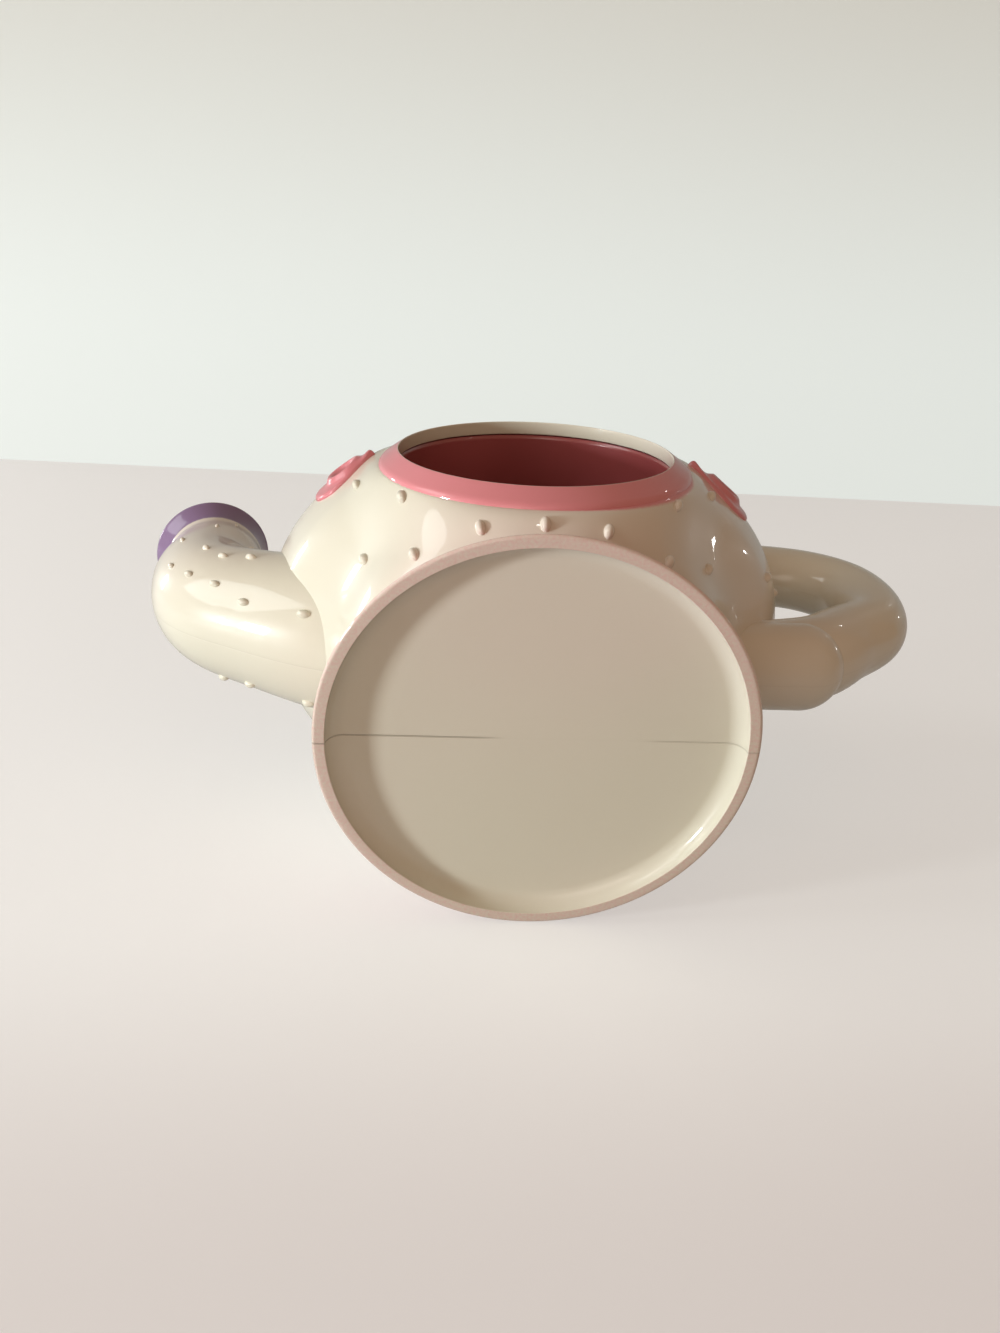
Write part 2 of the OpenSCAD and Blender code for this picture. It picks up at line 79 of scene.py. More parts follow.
# %% [markdown]
# ## From a grid of points to a mesh
# Every surface here is a function of two parameters, worked out as one array of points. This helper joins
# neighbouring points into quads, merges poles and seams, and turns the faces outwards. A bmesh loop over
# vertices would do the same, only slower and harder to read.

# %% Grid to mesh
def quads(rows, cols, wrap_cols=True, wrap_rows=False):
    """Corner numbers of every cell of a rows x cols grid, shape (cell rows, cell cols, 4)."""
    i = np.arange(rows if wrap_rows else rows - 1)[:, None]
    j = np.arange(cols if wrap_cols else cols - 1)[None, :]
    i2, j2 = (i + 1) % rows, (j + 1) % cols
    return np.stack(np.broadcast_arrays(i * cols + j, i * cols + j2, i2 * cols + j2, i2 * cols + j), axis=-1)


def piece(name, points, faces, material, body="pot", paint=None, sharp=None):
    """A smooth mesh piece from points (mm) and quads. Its faces point outwards if the flux of position
    through them, the sum of centre . normal x area, is positive."""
    points = np.asarray(points, float).reshape(-1, 3)
    faces = np.asarray(faces).reshape(-1, 4)
    mesh = bpy.data.meshes.new(name)
    mesh.from_pydata((points * MM).tolist(), [], faces.tolist())
    for key, values in (paint or {}).items():
        mesh.attributes.new(key, "FLOAT", "POINT").data.foreach_set("value", np.ravel(values).astype(np.float32))
    work = bmesh.new()
    work.from_mesh(mesh)
    bmesh.ops.remove_doubles(work, verts=work.verts, dist=2e-7)
    loose = [v for v in work.verts if not v.link_faces]
    bmesh.ops.delete(work, geom=loose, context="VERTS")
    bmesh.ops.recalc_face_normals(work, faces=work.faces)
    work.to_mesh(mesh)
    count = len(mesh.polygons)
    normal, centre, area = np.empty(count * 3), np.empty(count * 3), np.empty(count)
    mesh.polygons.foreach_get("normal", normal)
    mesh.polygons.foreach_get("center", centre)
    mesh.polygons.foreach_get("area", area)
    normal, centre = normal.reshape(-1, 3), centre.reshape(-1, 3)
    if np.sum(np.sum(normal * (centre - centre.mean(axis=0)), axis=1) * area) < 0:
        bmesh.ops.reverse_faces(work, faces=work.faces)
        work.to_mesh(mesh)
    work.free()
    mesh.polygons.foreach_set("use_smooth", np.ones(count, bool))
    if sharp:
        mesh.set_sharp_from_angle(angle=np.radians(sharp))
    obj = bpy.data.objects.new(name, mesh)
    bpy.context.collection.objects.link(obj)
    mesh.materials.append(material)
    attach(obj, body)
    print(f"{name}: {count} faces")
    return obj


# %% [markdown]
# ## Building materials
# Moulded toy plastic is a clear-coated, slightly wavy skin, and the trim is sprayed over it. A small helper
# makes nodes and links in one line each, so that a recipe can be read from top to bottom.

# %% Node helper
class Recipe:
    """A material whose nodes are added one by one: add(type, inputs..., settings...)."""

    def __init__(self, name):
        self.material = bpy.data.materials.new(name)
        self.material.use_nodes = True
        self.tree = self.material.node_tree
        self.shader = self.tree.nodes["Principled BSDF"]
        self.spot = self.add("TexCoord").outputs["Object"]

    def add(self, kind, inputs=None, **settings):
        node = self.tree.nodes.new("ShaderNode" + kind)
        for key, value in settings.items():
            setattr(node, key, value)
        for key, value in (inputs or {}).items():
            self.feed(node.inputs[key], value)
        return node

    def feed(self, socket, value):
        if isinstance(value, bpy.types.NodeSocket):
            self.tree.links.new(value, socket)
        elif isinstance(value, tuple) and len(value) == 3 and socket.type == "RGBA":
            socket.default_value = (*value, 1)
        else:
            socket.default_value = value

    def noise(self, scale, detail=3.0):
        """A noise value from 0 to 1; scale is in cycles per metre."""
        return self.add("TexNoise", {"Vector": self.spot, "Scale": scale, "Detail": detail,
                                     "Roughness": 0.55}).outputs["Fac"]

    def ramp(self, value, low, high, to_low=0.0, to_high=1.0):
        """value from low..high stretched smoothly to to_low..to_high."""
        return self.add("MapRange", {"Value": value, "From Min": low, "From Max": high, "To Min": to_low,
                                     "To Max": to_high}, interpolation_type="SMOOTHSTEP").outputs["Result"]

    def mix(self, factor, a, b):
        """Colour a where factor is 0, colour b where it is 1."""
        node = self.add("Mix", data_type="RGBA")
        self.feed(node.inputs[0], factor)
        self.feed(node.inputs[6], a)
        self.feed(node.inputs[7], b)
        return node.outputs[2]

    def math(self, operation, a, b=0.0):
        node = self.add("Math", operation=operation)
        self.feed(node.inputs[0], a)
        self.feed(node.inputs[1], b)
        return node.outputs[0]

    def bump(self, height, strength, distance, normal=None):
        """A normal tilted by the slope of a height, on top of another bump if one is given."""
        inputs = {"Height": height, "Strength": strength, "Distance": distance}
        if normal is not None:
            inputs["Normal"] = normal
        return self.add("Bump", inputs).outputs["Normal"]

    def attribute(self, name):
        return self.add("Attribute", attribute_name=name).outputs["Fac"]

    def finish(self, **inputs):
        for key, value in inputs.items():
            self.feed(self.shader.inputs[key.replace("_", " ")], value)
        return self.material


print("recipe helper ready")


# %% [markdown]
# ### Pearl cream plastic with sprayed trim
# The pot is one pearl cream moulding. Its window ring, foot and spout lip were masked and sprayed pink and
# purple, so the colour has a soft edge and a light overspray. Two float attributes on the meshes say where
# the paint lies. An image could do the same, but an attribute needs no unwrapping. The seam where the two
# halves meet is a fine groove in the plane y = 0.

# %% Pearl cream material
def pearl(name, seam=True):
    r = Recipe(name)

    def painted(attribute):
        """Where a paint lies, 0 to 1: its attribute with an edge frayed by fine noise."""
        frayed = r.math("ADD", r.attribute(attribute), r.math("MULTIPLY", r.noise(1500, 2), 0.22))
        return r.ramp(frayed, 0.35, 0.85)

    drift, spray_drift = r.ramp(r.noise(14, 0), 0.30, 0.70), r.noise(30, 0)
    sprayed = painted("pink")
    colour = r.mix(drift, (0.800, 0.785, 0.660), (0.825, 0.760, 0.670))
    colour = r.mix(sprayed, colour, r.mix(spray_drift, (0.760, 0.270, 0.305), (0.820, 0.310, 0.345)))
    colour = r.mix(painted("lilac"), colour, r.mix(spray_drift, (0.245, 0.165, 0.300), (0.285, 0.200, 0.345)))
    normal = r.bump(r.noise(70, 0), 0.05, 0.001)
    if seam:
        # the groove is open at both ends of the base, and closed in the middle and up the sides
        axes = r.add("SeparateXYZ", {"Vector": r.spot}).outputs
        groove = r.ramp(r.math("ABSOLUTE", axes["Y"]), 0.00008, 0.00026, 1, 0)
        groove = r.math("MULTIPLY", groove, r.ramp(axes["Z"], 0.0042, 0.0050, 1, 0.15))
        left_end = r.ramp(axes["X"], -0.013, -0.006, 1, 0.03)
        right_end = r.ramp(axes["X"], 0.020, 0.030, 0.03, 0.5)
        groove = r.math("MULTIPLY", groove, r.math("MAXIMUM", left_end, right_end))
        colour = r.mix(r.math("MULTIPLY", groove, 0.4), colour, (0.20, 0.15, 0.10))
        normal = r.bump(r.math("SUBTRACT", 1.0, groove), 0.6, 0.0004, normal)
    return r.finish(Base_Color=colour, Roughness=r.ramp(sprayed, 0, 1, 0.30, 0.42), Normal=normal,
                    Specular_IOR_Level=0.2, Coat_Weight=0.75, Coat_Roughness=0.035)


def unpainted(points):
    """Both paints at 0 on a grid of points, where the plastic stays bare."""
    return {"pink": np.zeros(points.shape[:-1]), "lilac": np.zeros(points.shape[:-1])}


shell_pearl = pearl("shell_pearl")
lid_pearl = pearl("lid_pearl", seam=False)
print("pearl materials:", shell_pearl.name, lid_pearl.name)

# %% [markdown]
# ### Pink mouldings and screws
# The bows, the knob and the chamber are moulded in their own colour, so the colour goes right through and
# varies little. The chamber is a deeper, glossier pink that looks almost brown in shade. The screws are
# zinc-plated steel, a metal with fine turning marks.

# %% Solid plastics and steel
def moulded(name, light, dark, rough, coat, wave=0.04, painted_hollow_shade=None):
    """Plastic of one colour that drifts from light to dark, with a painted shade in a bow's hollow if one is
    given.
    """
    r = Recipe(name)
    colour = r.mix(r.ramp(r.noise(40, 0), 0.3, 0.7), light, dark)
    if painted_hollow_shade:
        # painted shade: the colour darkens towards the given shade where the attribute marks a bow's hollow
        colour = r.mix(r.attribute("painted_hollow_shade"), colour, painted_hollow_shade)
    return r.finish(Base_Color=colour, Roughness=rough, Normal=r.bump(r.noise(90, 0), wave, 0.001),
                    Coat_Weight=coat, Coat_Roughness=0.05, Specular_IOR_Level=0.5)


# the bows' third colour is a painted shade for the hollow inside each loop's ridge
bow_pink = moulded("bow_pink", (0.780, 0.270, 0.305), (0.720, 0.235, 0.270), 0.30, 0.35,
                   painted_hollow_shade=(0.30, 0.075, 0.085))
knob_pink = moulded("knob_pink", (0.800, 0.310, 0.350), (0.740, 0.265, 0.310), 0.22, 0.6)
chamber_pink = moulded("chamber_pink", (0.400, 0.095, 0.100), (0.340, 0.078, 0.082), 0.30, 0.6, wave=0.05)

steel = Recipe("zinc_steel")
ring_marks = steel.add("TexWave", {"Vector": steel.spot, "Scale": 900, "Distortion": 0.6, "Detail": 1.0},
                       wave_type="RINGS", rings_direction="Y").outputs["Fac"]
zinc_steel = steel.finish(Base_Color=steel.mix(steel.noise(500), (0.58, 0.58, 0.60), (0.44, 0.44, 0.46)),
                          Metallic=1.0, Roughness=steel.ramp(steel.noise(800), 0.3, 0.7, 0.28, 0.42),
                          Normal=steel.bump(ring_marks, 0.15, 0.0001))
print("plastics and steel ready")

# %% [markdown]
# ## The body's outline
# Seen from the front the belly is wide and falls in a slack curve to the waist, while from the side it is
# rounder. So width and depth follow two curves of the same family, a superellipse below the widest level
# and a quarter ellipse above it. A single turned profile could not match both silhouettes.

# %% Body outline
belly_w, belly_d, belly_z, shoulder_h = 131.0, 102.0, 65.0, 34.0
foot_h, slack, slack_span, waist_tuck = 13.0, 5.0, 39.0, 1.2
side_fall, side_power, front_fall, front_power = 1.29, 1.4, 0.98, 3.0


def closing(z, share, power):
    """1 at the widest level, falling as (1 - t^power)^(1/power) below it and as sqrt(1 - t^2) above it."""
    low = np.clip((belly_z - z) / (belly_z * share), 0, 1)
    high = np.clip((z - belly_z) / shoulder_h, 0, 1)
    return np.where(z < belly_z, (1 - low ** power) ** (1 / power), np.sqrt(1 - high ** 2))


def half_w(z):
    """Half of the body's width at height z: the closing curve less a hollow, slack x sin^2, above the foot."""
    z = np.asarray(z, float)
    hollow = slack * np.sin(np.pi * np.clip((z - foot_h) / slack_span, 0, 1)) ** 2
    return belly_w / 2 * closing(z, side_fall, side_power) - hollow


def half_d(z):
    """Half of the body's depth at height z, by the same closing curve."""
    return belly_d / 2 * closing(np.asarray(z, float), front_fall, front_power)


def skin_at(turn, z):
    """The skin's point (w sin a, -d cos a, z) at a turn a (degrees from the window) and height z."""
    a = np.radians(turn)
    return np.stack(np.broadcast_arrays(half_w(z) * np.sin(a), -half_d(z) * np.cos(a), z), axis=-1)


def depth_at(x, z):
    """The skin's distance from the plane y = 0 at x and z: half_d x sqrt(1 - (x / half_w)^2)."""
    return half_d(z) * np.sqrt(np.clip(1 - (x / half_w(z)) ** 2, 0, 1))


waist_r = float(half_w(foot_h)) - waist_tuck
print("waist radius", round(waist_r, 1), "mm")

# %% [markdown]
# ## The window's own axes
# The window leans back by two degrees. Everything round it is turned about its leaning axis, so one function
# carries a radius, an angle and a depth into the pot's frame.

# %% Window axes
window_r, ring_w, window_z, window_y, lean = 31.75, 4.6, 56.0, 46.8, np.radians(2)
bevel_h, collar_h, block_h, chamber_wall = 3.2, 3.4, 12.5, 2.0
ring_r, seat_r = window_r + ring_w, window_r + chamber_wall + 0.3
window_mid = np.array([0, -window_y, window_z])
across = np.array([1.0, 0.0, 0.0])
upward = np.array([0, np.sin(lean), np.cos(lean)])
inward = np.array([0, np.cos(lean), -np.sin(lean)])
print("window's middle", window_mid, "ring radius", ring_r)


def window_turned(radius, depth, angle):
    """Point at a radius and depth on the window's axis: mid + r cos a X + r sin a U + depth N."""
    radius, depth, angle = np.broadcast_arrays(radius, depth, angle)
    return (window_mid + (radius * np.cos(angle))[..., None] * across
            + (radius * np.sin(angle))[..., None] * upward + depth[..., None] * inward)


# %% [markdown]
# ## Outlines to turn
# Ring, cup, foot, neck, lid and knob are turned shapes, as from a lathe: an outline of radius and depth carried
# round an axis. The Screw modifier would turn a curve too, but an array leaves each point at hand for paint.

# %% Outline helpers
def turned(profile, sides, place):
    """Turns an outline, an array of (radius, depth), about an axis; place(radius, depth, angle) sets it."""
    angle = np.arange(sides) * 2 * np.pi / sides
    return place(profile[:, :1], profile[:, 1:], angle[None, :])


def upright(radius, height, angle):
    """Point at a radius and height on the pot's own vertical axis."""
    radius, height, angle = np.broadcast_arrays(radius, height, angle)
    return np.stack([radius * np.cos(angle), radius * np.sin(angle), height], axis=-1)


def rounded(corners, radius, steps=5, closed=False):
    """An outline with each corner cut back by radius and bent as a quadratic arc through the cuts."""
    p = np.asarray(corners, float)
    size = np.broadcast_to(np.asarray(radius, float), len(p))
    before, after = np.roll(p, 1, axis=0) - p, np.roll(p, -1, axis=0) - p
    lb, la = np.linalg.norm(before, axis=1), np.linalg.norm(after, axis=1)
    cut = np.minimum(size, 0.45 * np.minimum(lb, la))
    if not closed:
        cut = np.where((np.arange(len(p)) == 0) | (np.arange(len(p)) == len(p) - 1), 0, cut)
    a = p + before / np.maximum(lb, 1e-9)[:, None] * cut[:, None]
    b = p + after / np.maximum(la, 1e-9)[:, None] * cut[:, None]
    t = np.linspace(0, 1, steps)[None, :, None]
    arc = (1 - t) ** 2 * a[:, None] + 2 * t * (1 - t) * p[:, None] + t ** 2 * b[:, None]
    arc = arc.reshape(-1, 2)
    keep = np.r_[True, np.linalg.norm(np.diff(arc, axis=0), axis=1) > 1e-6]
    return arc[keep]


def refined(profile, step):
    """The same outline with extra points, so that no stretch is longer than step."""
    d = np.r_[0, np.cumsum(np.linalg.norm(np.diff(profile, axis=0), axis=1))]
    s = np.unique(np.r_[d, np.arange(0, d[-1], step)])
    return np.stack([np.interp(s, d, profile[:, 0]), np.interp(s, d, profile[:, 1])], axis=1)


print("a rounded square has", len(rounded([[0, 0], [1, 0], [1, 1], [0, 1]], 0.2, closed=True)), "points")

# %% [markdown]
# ## Openings in the skin
# The skin has a window, a neck opening and four screw holes. Cutting them with a boolean would leave sliver
# faces that show in the gloss. Instead, grid points just inside a hole slide onto its edge and the faces
# wholly inside it are left out, so the edge is clean and every point stays on the true surface.

# %% Holes
screw_hole_r, hole_r, neck_hole_r = 2.8, ring_r - 0.4, 25.3
low_z, top_z = foot_h + 6.75, belly_z + 0.4 * shoulder_h
body_screws = [(s * x, z) for z, x in ((low_z, 30.12), (top_z, 42.02)) for s in (-1, 1)]
fillet_w, fillet_power, fillet_end = 9.0, 2.2, 0.7
print("screws of the body at", body_screws)


def spread(flags):
    """Grid points that touch a flagged one, the columns being closed."""
    rows = flags.copy()
    rows[1:] |= flags[:-1]
    rows[:-1] |= flags[1:]
    return rows | np.roll(rows, 1, axis=1) | np.roll(rows, -1, axis=1)


def open_hole(points, keep, inside, onto_edge):
    """Slides the points just inside a hole onto its edge and drops the cells wholly inside it."""
    rim = inside & spread(~inside)
    points[rim] = onto_edge(points[rim])
    full = inside & np.roll(inside, -1, axis=1)
    keep &= ~(full[:-1] & full[1:])


def to_window_edge(p):
    """Moves points along the skin onto the window's circle, solving for height in a few steps."""
    q = p - window_mid
    x, s = q @ across, q @ upward
    r = np.hypot(x, s)
    x, s, z = x / r * hole_r, s / r * hole_r, p[:, 2]
    for _ in range(6):
        y = -depth_at(x, z)
        z = window_z + (s - (y + window_y) * np.sin(lean)) / np.cos(lean)
    return np.stack([x, -depth_at(x, z), z], axis=1)


def to_screw_edge(centre):
    """Moves points of the back skin onto a screw hole's circle."""
    def move(p):
        q = p[:, [0, 2]] - centre
        q = centre + q / np.linalg.norm(q, axis=1)[:, None] * screw_hole_r
        return np.stack([q[:, 0], depth_at(q[:, 0], q[:, 1]), q[:, 1]], axis=1)
    return move


def to_neck_edge(p):
    """Moves points of the shoulder onto the neck's circle, on the ellipsoid of the shoulder."""
    q = p[:, :2] / np.linalg.norm(p[:, :2], axis=1)[:, None] * neck_hole_r
    rise = np.sqrt(1 - (q[:, 0] / (belly_w / 2)) ** 2 - (q[:, 1] / (belly_d / 2)) ** 2)
    return np.column_stack([q, belly_z + shoulder_h * rise])


def lifted(points):
    """Near the window the skin rises to the ring's edge in a soft fillet, by its depth x (1 - d / w)^power at a
    distance d from the ring, w being the fillet's width. Returns the points and d."""
    offset = points - window_mid
    away = np.hypot(offset @ across, offset @ upward) - ring_r
    rise = np.clip(1 - np.clip(away, 0, None) / fillet_w, 0, 1) ** fillet_power * (points[..., 1] < 0)
    sunk = np.clip(offset @ inward - bevel_h - fillet_end, 0, None)
    return points - (rise * sunk)[..., None] * inward, away


# %% [markdown]
# ## The body's skin
# The belly is one closed skin, a grid of turns and heights. Its rows lie closer together over the shoulder,
# where it bends most. Two paints are laid on as shares from 0 to 1: a breath of pink that strayed past the
# ring, more at its lower right, and the pink of the foot that fades upwards.

# %% The body's skin
columns, skin_low, top_angle = 440, 11.0, 78
heights = np.r_[np.linspace(skin_low, belly_z, 100, endpoint=False),
                belly_z + shoulder_h * np.sin(np.radians(np.linspace(0, top_angle, 78)))]
turns = np.arange(columns) * 360 / columns
skin = skin_at(turns[None, :], heights[:, None])
keep = np.ones((len(heights) - 1, columns), bool)
offset = skin - window_mid
in_window = (np.hypot(offset @ across, offset @ upward) < hole_r) & (skin[..., 1] < 0)
open_hole(skin, keep, in_window, to_window_edge)
in_neck = (np.hypot(skin[..., 0], skin[..., 1]) < neck_hole_r) & (heights[:, None] > belly_z)
open_hole(skin, keep, in_neck, to_neck_edge)
for spot in body_screws:
    near = np.linalg.norm(skin[..., [0, 2]] - np.array(spot), axis=-1) < screw_hole_r
    open_hole(skin, keep, near & (skin[..., 1] > 0), to_screw_edge(np.array(spot)))
skin, from_ring = lifted(skin)
lower_right = np.clip(0.45 + skin[..., 0] / 30, 0, 1) * np.clip((window_z - skin[..., 2]) / 12, 0, 1)
overspray = np.clip((0.1 + 1.3 * lower_right - from_ring) / 1.5, 0, 1) * (skin[..., 1] < 0)
from_foot = np.clip(0.55 - (skin[..., 2] - foot_h) / 3.5, 0, 1)
body_skin = piece("body_skin", skin, quads(len(heights), columns)[keep], shell_pearl,
                  paint={"pink": np.maximum(overspray, from_foot), "lilac": np.zeros(skin.shape[:2])})
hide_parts("front_shell", "back_shell")

# %% [markdown]
# ## The window ring
# A bevelled ring frames the opening, with a short collar behind it. The paint covers the bevel and stops
# short of the collar, whose wall stays cream. The ring is one closed outline turned about the window's axis.

# %% Window ring
ring_corners = [(window_r, 0.0), (ring_r, bevel_h), (ring_r, block_h), (seat_r, block_h), (seat_r, collar_h),
                (window_r, collar_h)]
ring_line = refined(rounded(ring_corners, [0.5, 1.0, 0.3, 0.3, 0.2, 0.3], closed=True), 0.5)
ring_line = ring_line[:-1] if np.allclose(ring_line[0], ring_line[-1]) else ring_line
ring_points = turned(ring_line, 240, window_turned)
paint_end, paint_fade, stray = bevel_h + 2.0, 0.9, 0.30
on_wall = ring_line[:, :1] < window_r + 0.25
bevel_paint = np.clip((paint_end - ring_line[:, 1:]) / paint_fade, 0, 1) * ~on_wall
wall_paint = stray * np.clip(1.4 - ring_line[:, 1:], 0, 1) * on_wall * (ring_points[..., 2] > window_z)
ring_pink = np.maximum(bevel_paint, wall_paint)
window_ring = piece("window_ring", ring_points, quads(*ring_points.shape[:2], wrap_rows=True), shell_pearl,
                    paint={"pink": ring_pink, "lilac": ring_pink * 0}, sharp=50)

# %% [markdown]
# ## The chamber
# Behind the collar sits a separate cup with its own colour. It is turned about the same axis, and a thin dark
# gap shows where it meets the collar, as on the real toy.

# %% Chamber
cup_low, cup_len, cup_round = collar_h + 0.3, 72.0, 20.0
bend = np.radians(np.linspace(0, 90, 14))
outer = np.column_stack([window_r + chamber_wall - cup_round * (1 - np.cos(bend)),
                         cup_low + cup_len + chamber_wall - cup_round * (1 - np.sin(bend))])
inner = np.column_stack([window_r - (cup_round - chamber_wall) * (1 - np.cos(bend)),
                         cup_low + cup_len - (cup_round - chamber_wall) * (1 - np.sin(bend))])
lip_round = np.array([[window_r, cup_low + 0.5], [window_r + 0.4, cup_low], [window_r + 1.6, cup_low],
                      [window_r + chamber_wall, cup_low + 0.5]])
cup_line = np.vstack([[0, cup_low + cup_len], inner[::-1], lip_round, outer,
                      [0, cup_low + cup_len + chamber_wall]])
cup_points = turned(refined(cup_line, 2.5), 160, window_turned)
chamber = piece("chamber_cup", cup_points, quads(*cup_points.shape[:2]), chamber_pink, sharp=50)
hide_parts("chamber")

# %% [markdown]
# ## The foot
# The foot flares out below the waist to a flat rim, and its underside is a shallow dish with a soft inner
# corner. It is a turned outline too, sprayed pink on the outside only, with a little overspray on the rim.

# %% Foot
foot_r, rim_w, recess_h, dish_round, foot_sides = 46.0, 2.7, 3.8, 3.6, 240
dish = np.radians(np.linspace(90, 0, 14))
inside = np.column_stack([foot_r - rim_w - dish_round * (1 - np.cos(dish)), recess_h * np.sin(dish)])
flare = np.array([[0, 1], [0.08, 0.995], [0.26, 0.72], [0.48, 0.42], [0.72, 0.18], [1, 0]])
smooth_z = np.linspace(0, 1, 30)
flare_r = np.interp(smooth_z, flare[:, 0], flare[:, 1])
flare_r = np.convolve(np.r_[np.ones(3), flare_r, np.zeros(3)], np.array([1, 2, 3, 2, 1]) / 9, "same")[3:-3]
flare_r[0], flare_r[-1] = 0.985, 0
outside = np.column_stack([waist_r + (foot_r - waist_r) * flare_r, foot_h * smooth_z])
foot_line = np.vstack([[0, recess_h], inside, [foot_r - rim_w + 0.3, 0.0], [foot_r - 0.45, 0.0], outside[1:],
                       [waist_r - 1.5, foot_h + 1.0], [0, foot_h + 1.0]])
foot_line = refined(rounded(foot_line, 0.25, 3), 1.0)
foot_points = turned(foot_line, foot_sides, upright)
turn_over = np.argmin(np.hypot(foot_line[:, 0] - foot_r + 0.45, foot_line[:, 1]))
outside_part = np.arange(len(foot_line)) > turn_over
rim_pink = 0.40
foot_pink = np.where(outside_part, np.clip(foot_line[:, 1] - 0.5, rim_pink, 1),
                     np.where(foot_line[:, 1] < 0.1, rim_pink, 0))
foot_pink = np.repeat(foot_pink[:, None], foot_sides, axis=1)
foot = piece("foot", foot_points, quads(*foot_points.shape[:2]), shell_pearl,
             paint={"pink": foot_pink, "lilac": foot_pink * 0}, sharp=60)

# %% [markdown]
# ## Tubes along a bent line
# Spout and handle are tubes whose centre line bends in the plane y = 0 and whose radius changes on the way.
# A curve object with a bevel could do it, but a sweep in numpy keeps the same stations as the solid model.

# %% Tube sweep
def between(values, t):
    """A smooth value at station t: the Catmull-Rom curve through the listed values."""
    values, t = np.asarray(values, float), np.asarray(t, float)
    i = np.minimum(np.floor(t).astype(int), len(values) - 2)
    f = t - i
    a, b, c, d = (values[np.clip(i + k, 0, len(values) - 1)] for k in (-1, 0, 1, 2))
    return b + f * (c - a) / 2 + f ** 2 * (a - 2.5 * b + 2 * c - d / 2) + f ** 3 * (1.5 * (b - c) + (d - a) / 2)


def path(xs, zs, t):
    """Centre (x, z) and heading of a bent line at stations t."""
    last = len(xs) - 1
    a, b = np.clip(t - 0.05, 0, last), np.clip(t + 0.05, 0, last)
    way = np.stack([between(xs, b) - between(xs, a), between(zs, b) - between(zs, a)], axis=-1)
    return np.stack([between(xs, t), between(zs, t)], axis=-1), way / np.linalg.norm(way, axis=-1, keepdims=True)


def tube(centre, way, radius, angle):
    """Ring points: centre + r cos a x sideways + r sin a x Y, sideways being the heading turned by a right
    angle."""
    r = radius[:, None]
    return np.stack([centre[:, :1] - way[:, 1:] * r * np.cos(angle), r * np.sin(angle) + 0 * centre[:, :1],
                     centre[:, 1:] + way[:, :1] * r * np.cos(angle)], axis=-1)


def open_tube_hole(points, keep, centre, way, radius, spot):
    """A screw hole on the back of a tube: points slide to the circle, and to y = sqrt(r^2 - aside^2) on it."""
    flat = points[..., [0, 2]]
    inside = (np.linalg.norm(flat - spot, axis=-1) < screw_hole_r) & (points[..., 1] > 0)
    rim = inside & spread(~inside)
    row = np.nonzero(rim)[0]
    q = flat[rim] - spot
    q = spot + q / np.linalg.norm(q, axis=1)[:, None] * screw_hole_r
    aside = (q[:, 1] - centre[row, 1]) * way[row, 0] - (q[:, 0] - centre[row, 0]) * way[row, 1]
    y = np.sqrt(np.clip(radius[row] ** 2 - aside ** 2, 0, None))
    points[rim] = np.column_stack([q[:, 0], y, q[:, 1]])
    full = inside & np.roll(inside, -1, axis=1)
    keep &= ~(full[:-1] & full[1:])


print("halfway between stations at 0, 1, 4, 9:", between([0, 1, 4, 9], 1.5))

# %% [markdown]
# ### The spout
# The spout leaves the belly wide and low, bends upwards and ends in a rolled lip that was dipped in purple.
# The same surface turns over the lip and runs down inside, so the mouth is open. Along the bend it lists the
# reach, height and radius of eight stations as shares of three sizes, and the rolled lip as radii in mm.

# %% Spout
spout_reach, spout_top, spout_root_r = 89.0, 103.0, 20.5
spout_x = -spout_reach * np.array([0.36, 0.53, 0.70, 0.87, 0.95, 0.966, 0.98, 1])
spout_z = spout_top * np.array([0.475, 0.505, 0.56, 0.64, 0.76, 0.89, 0.95, 1])
spout_r = spout_root_r * np.array([1.02, 0.95, 0.865, 0.80, 0.72, 0.655, 0.64, 0.765])
mouth_r, wall, spout_sides = 8.5, 2.4, 120
around = np.arange(spout_sides) * 2 * np.pi / spout_sides

t_out = np.linspace(0.15, 7, 170)
mid, way = path(spout_x, spout_z, t_out)
rad = between(spout_r, t_out)
tip, tip_way = mid[-1], way[-1]
roll = np.array([[0.45, 15.7], [0.9, 15.45], [1.25, 15.0], [1.48, 14.4], [1.6, 13.7], [1.62, 13.0], [1.55, 12.0],
                 [1.45, 11.0], [1.05, 10.1], [0.5, 9.3], [-0.2, 8.75], [-1.2, 8.5], [-3.0, 8.5]])
t_in = np.linspace(6, 1.6, 60)
mid_in, way_in = path(spout_x, spout_z, t_in)
rad_in = np.where(t_in > 5.5, mouth_r, between(spout_r, t_in) - wall)
rad_in = np.convolve(np.pad(rad_in, 3, mode="edge"), np.ones(7) / 7, "valid")
spout_mid = np.vstack([mid, tip + tip_way * roll[:, :1], mid_in])
spout_way = np.vstack([way, np.repeat(tip_way[None], len(roll), axis=0), way_in])
spout_rad = np.r_[rad, roll[:, 1], rad_in]
spout_points = tube(spout_mid, spout_way, spout_rad, around[None, :])
spout_keep = np.ones((len(spout_rad) - 1, spout_sides), bool)
screw_station = 3.0
spout_screw, _ = path(spout_x, spout_z, np.array([screw_station]))
outer_rows = len(rad)
open_tube_hole(spout_points[:outer_rows], spout_keep[:outer_rows - 1], mid, way, rad, spout_screw[0])
roll_lilac = np.where(np.arange(len(roll)) < 9, 1.0, 0.6)
lilac = np.r_[np.clip((t_out - 5.9) / 0.25, 0, 1), roll_lilac, np.zeros(len(t_in))]
lilac = np.repeat(lilac[:, None], spout_sides, axis=1)
cells = quads(len(spout_rad), spout_sides, wrap_rows=True)
spout_keep = np.vstack([spout_keep, np.ones((1, spout_sides), bool)])
spout = piece("spout", spout_points, cells[spout_keep], shell_pearl, paint={"pink": lilac * 0, "lilac": lilac})

# %% [markdown]
# ### The handle and its knuckle
# The handle is a plain round loop. It springs from the shoulder and returns into a round-ended stub, the
# knuckle, that stands out from the lower body and holds a screw.

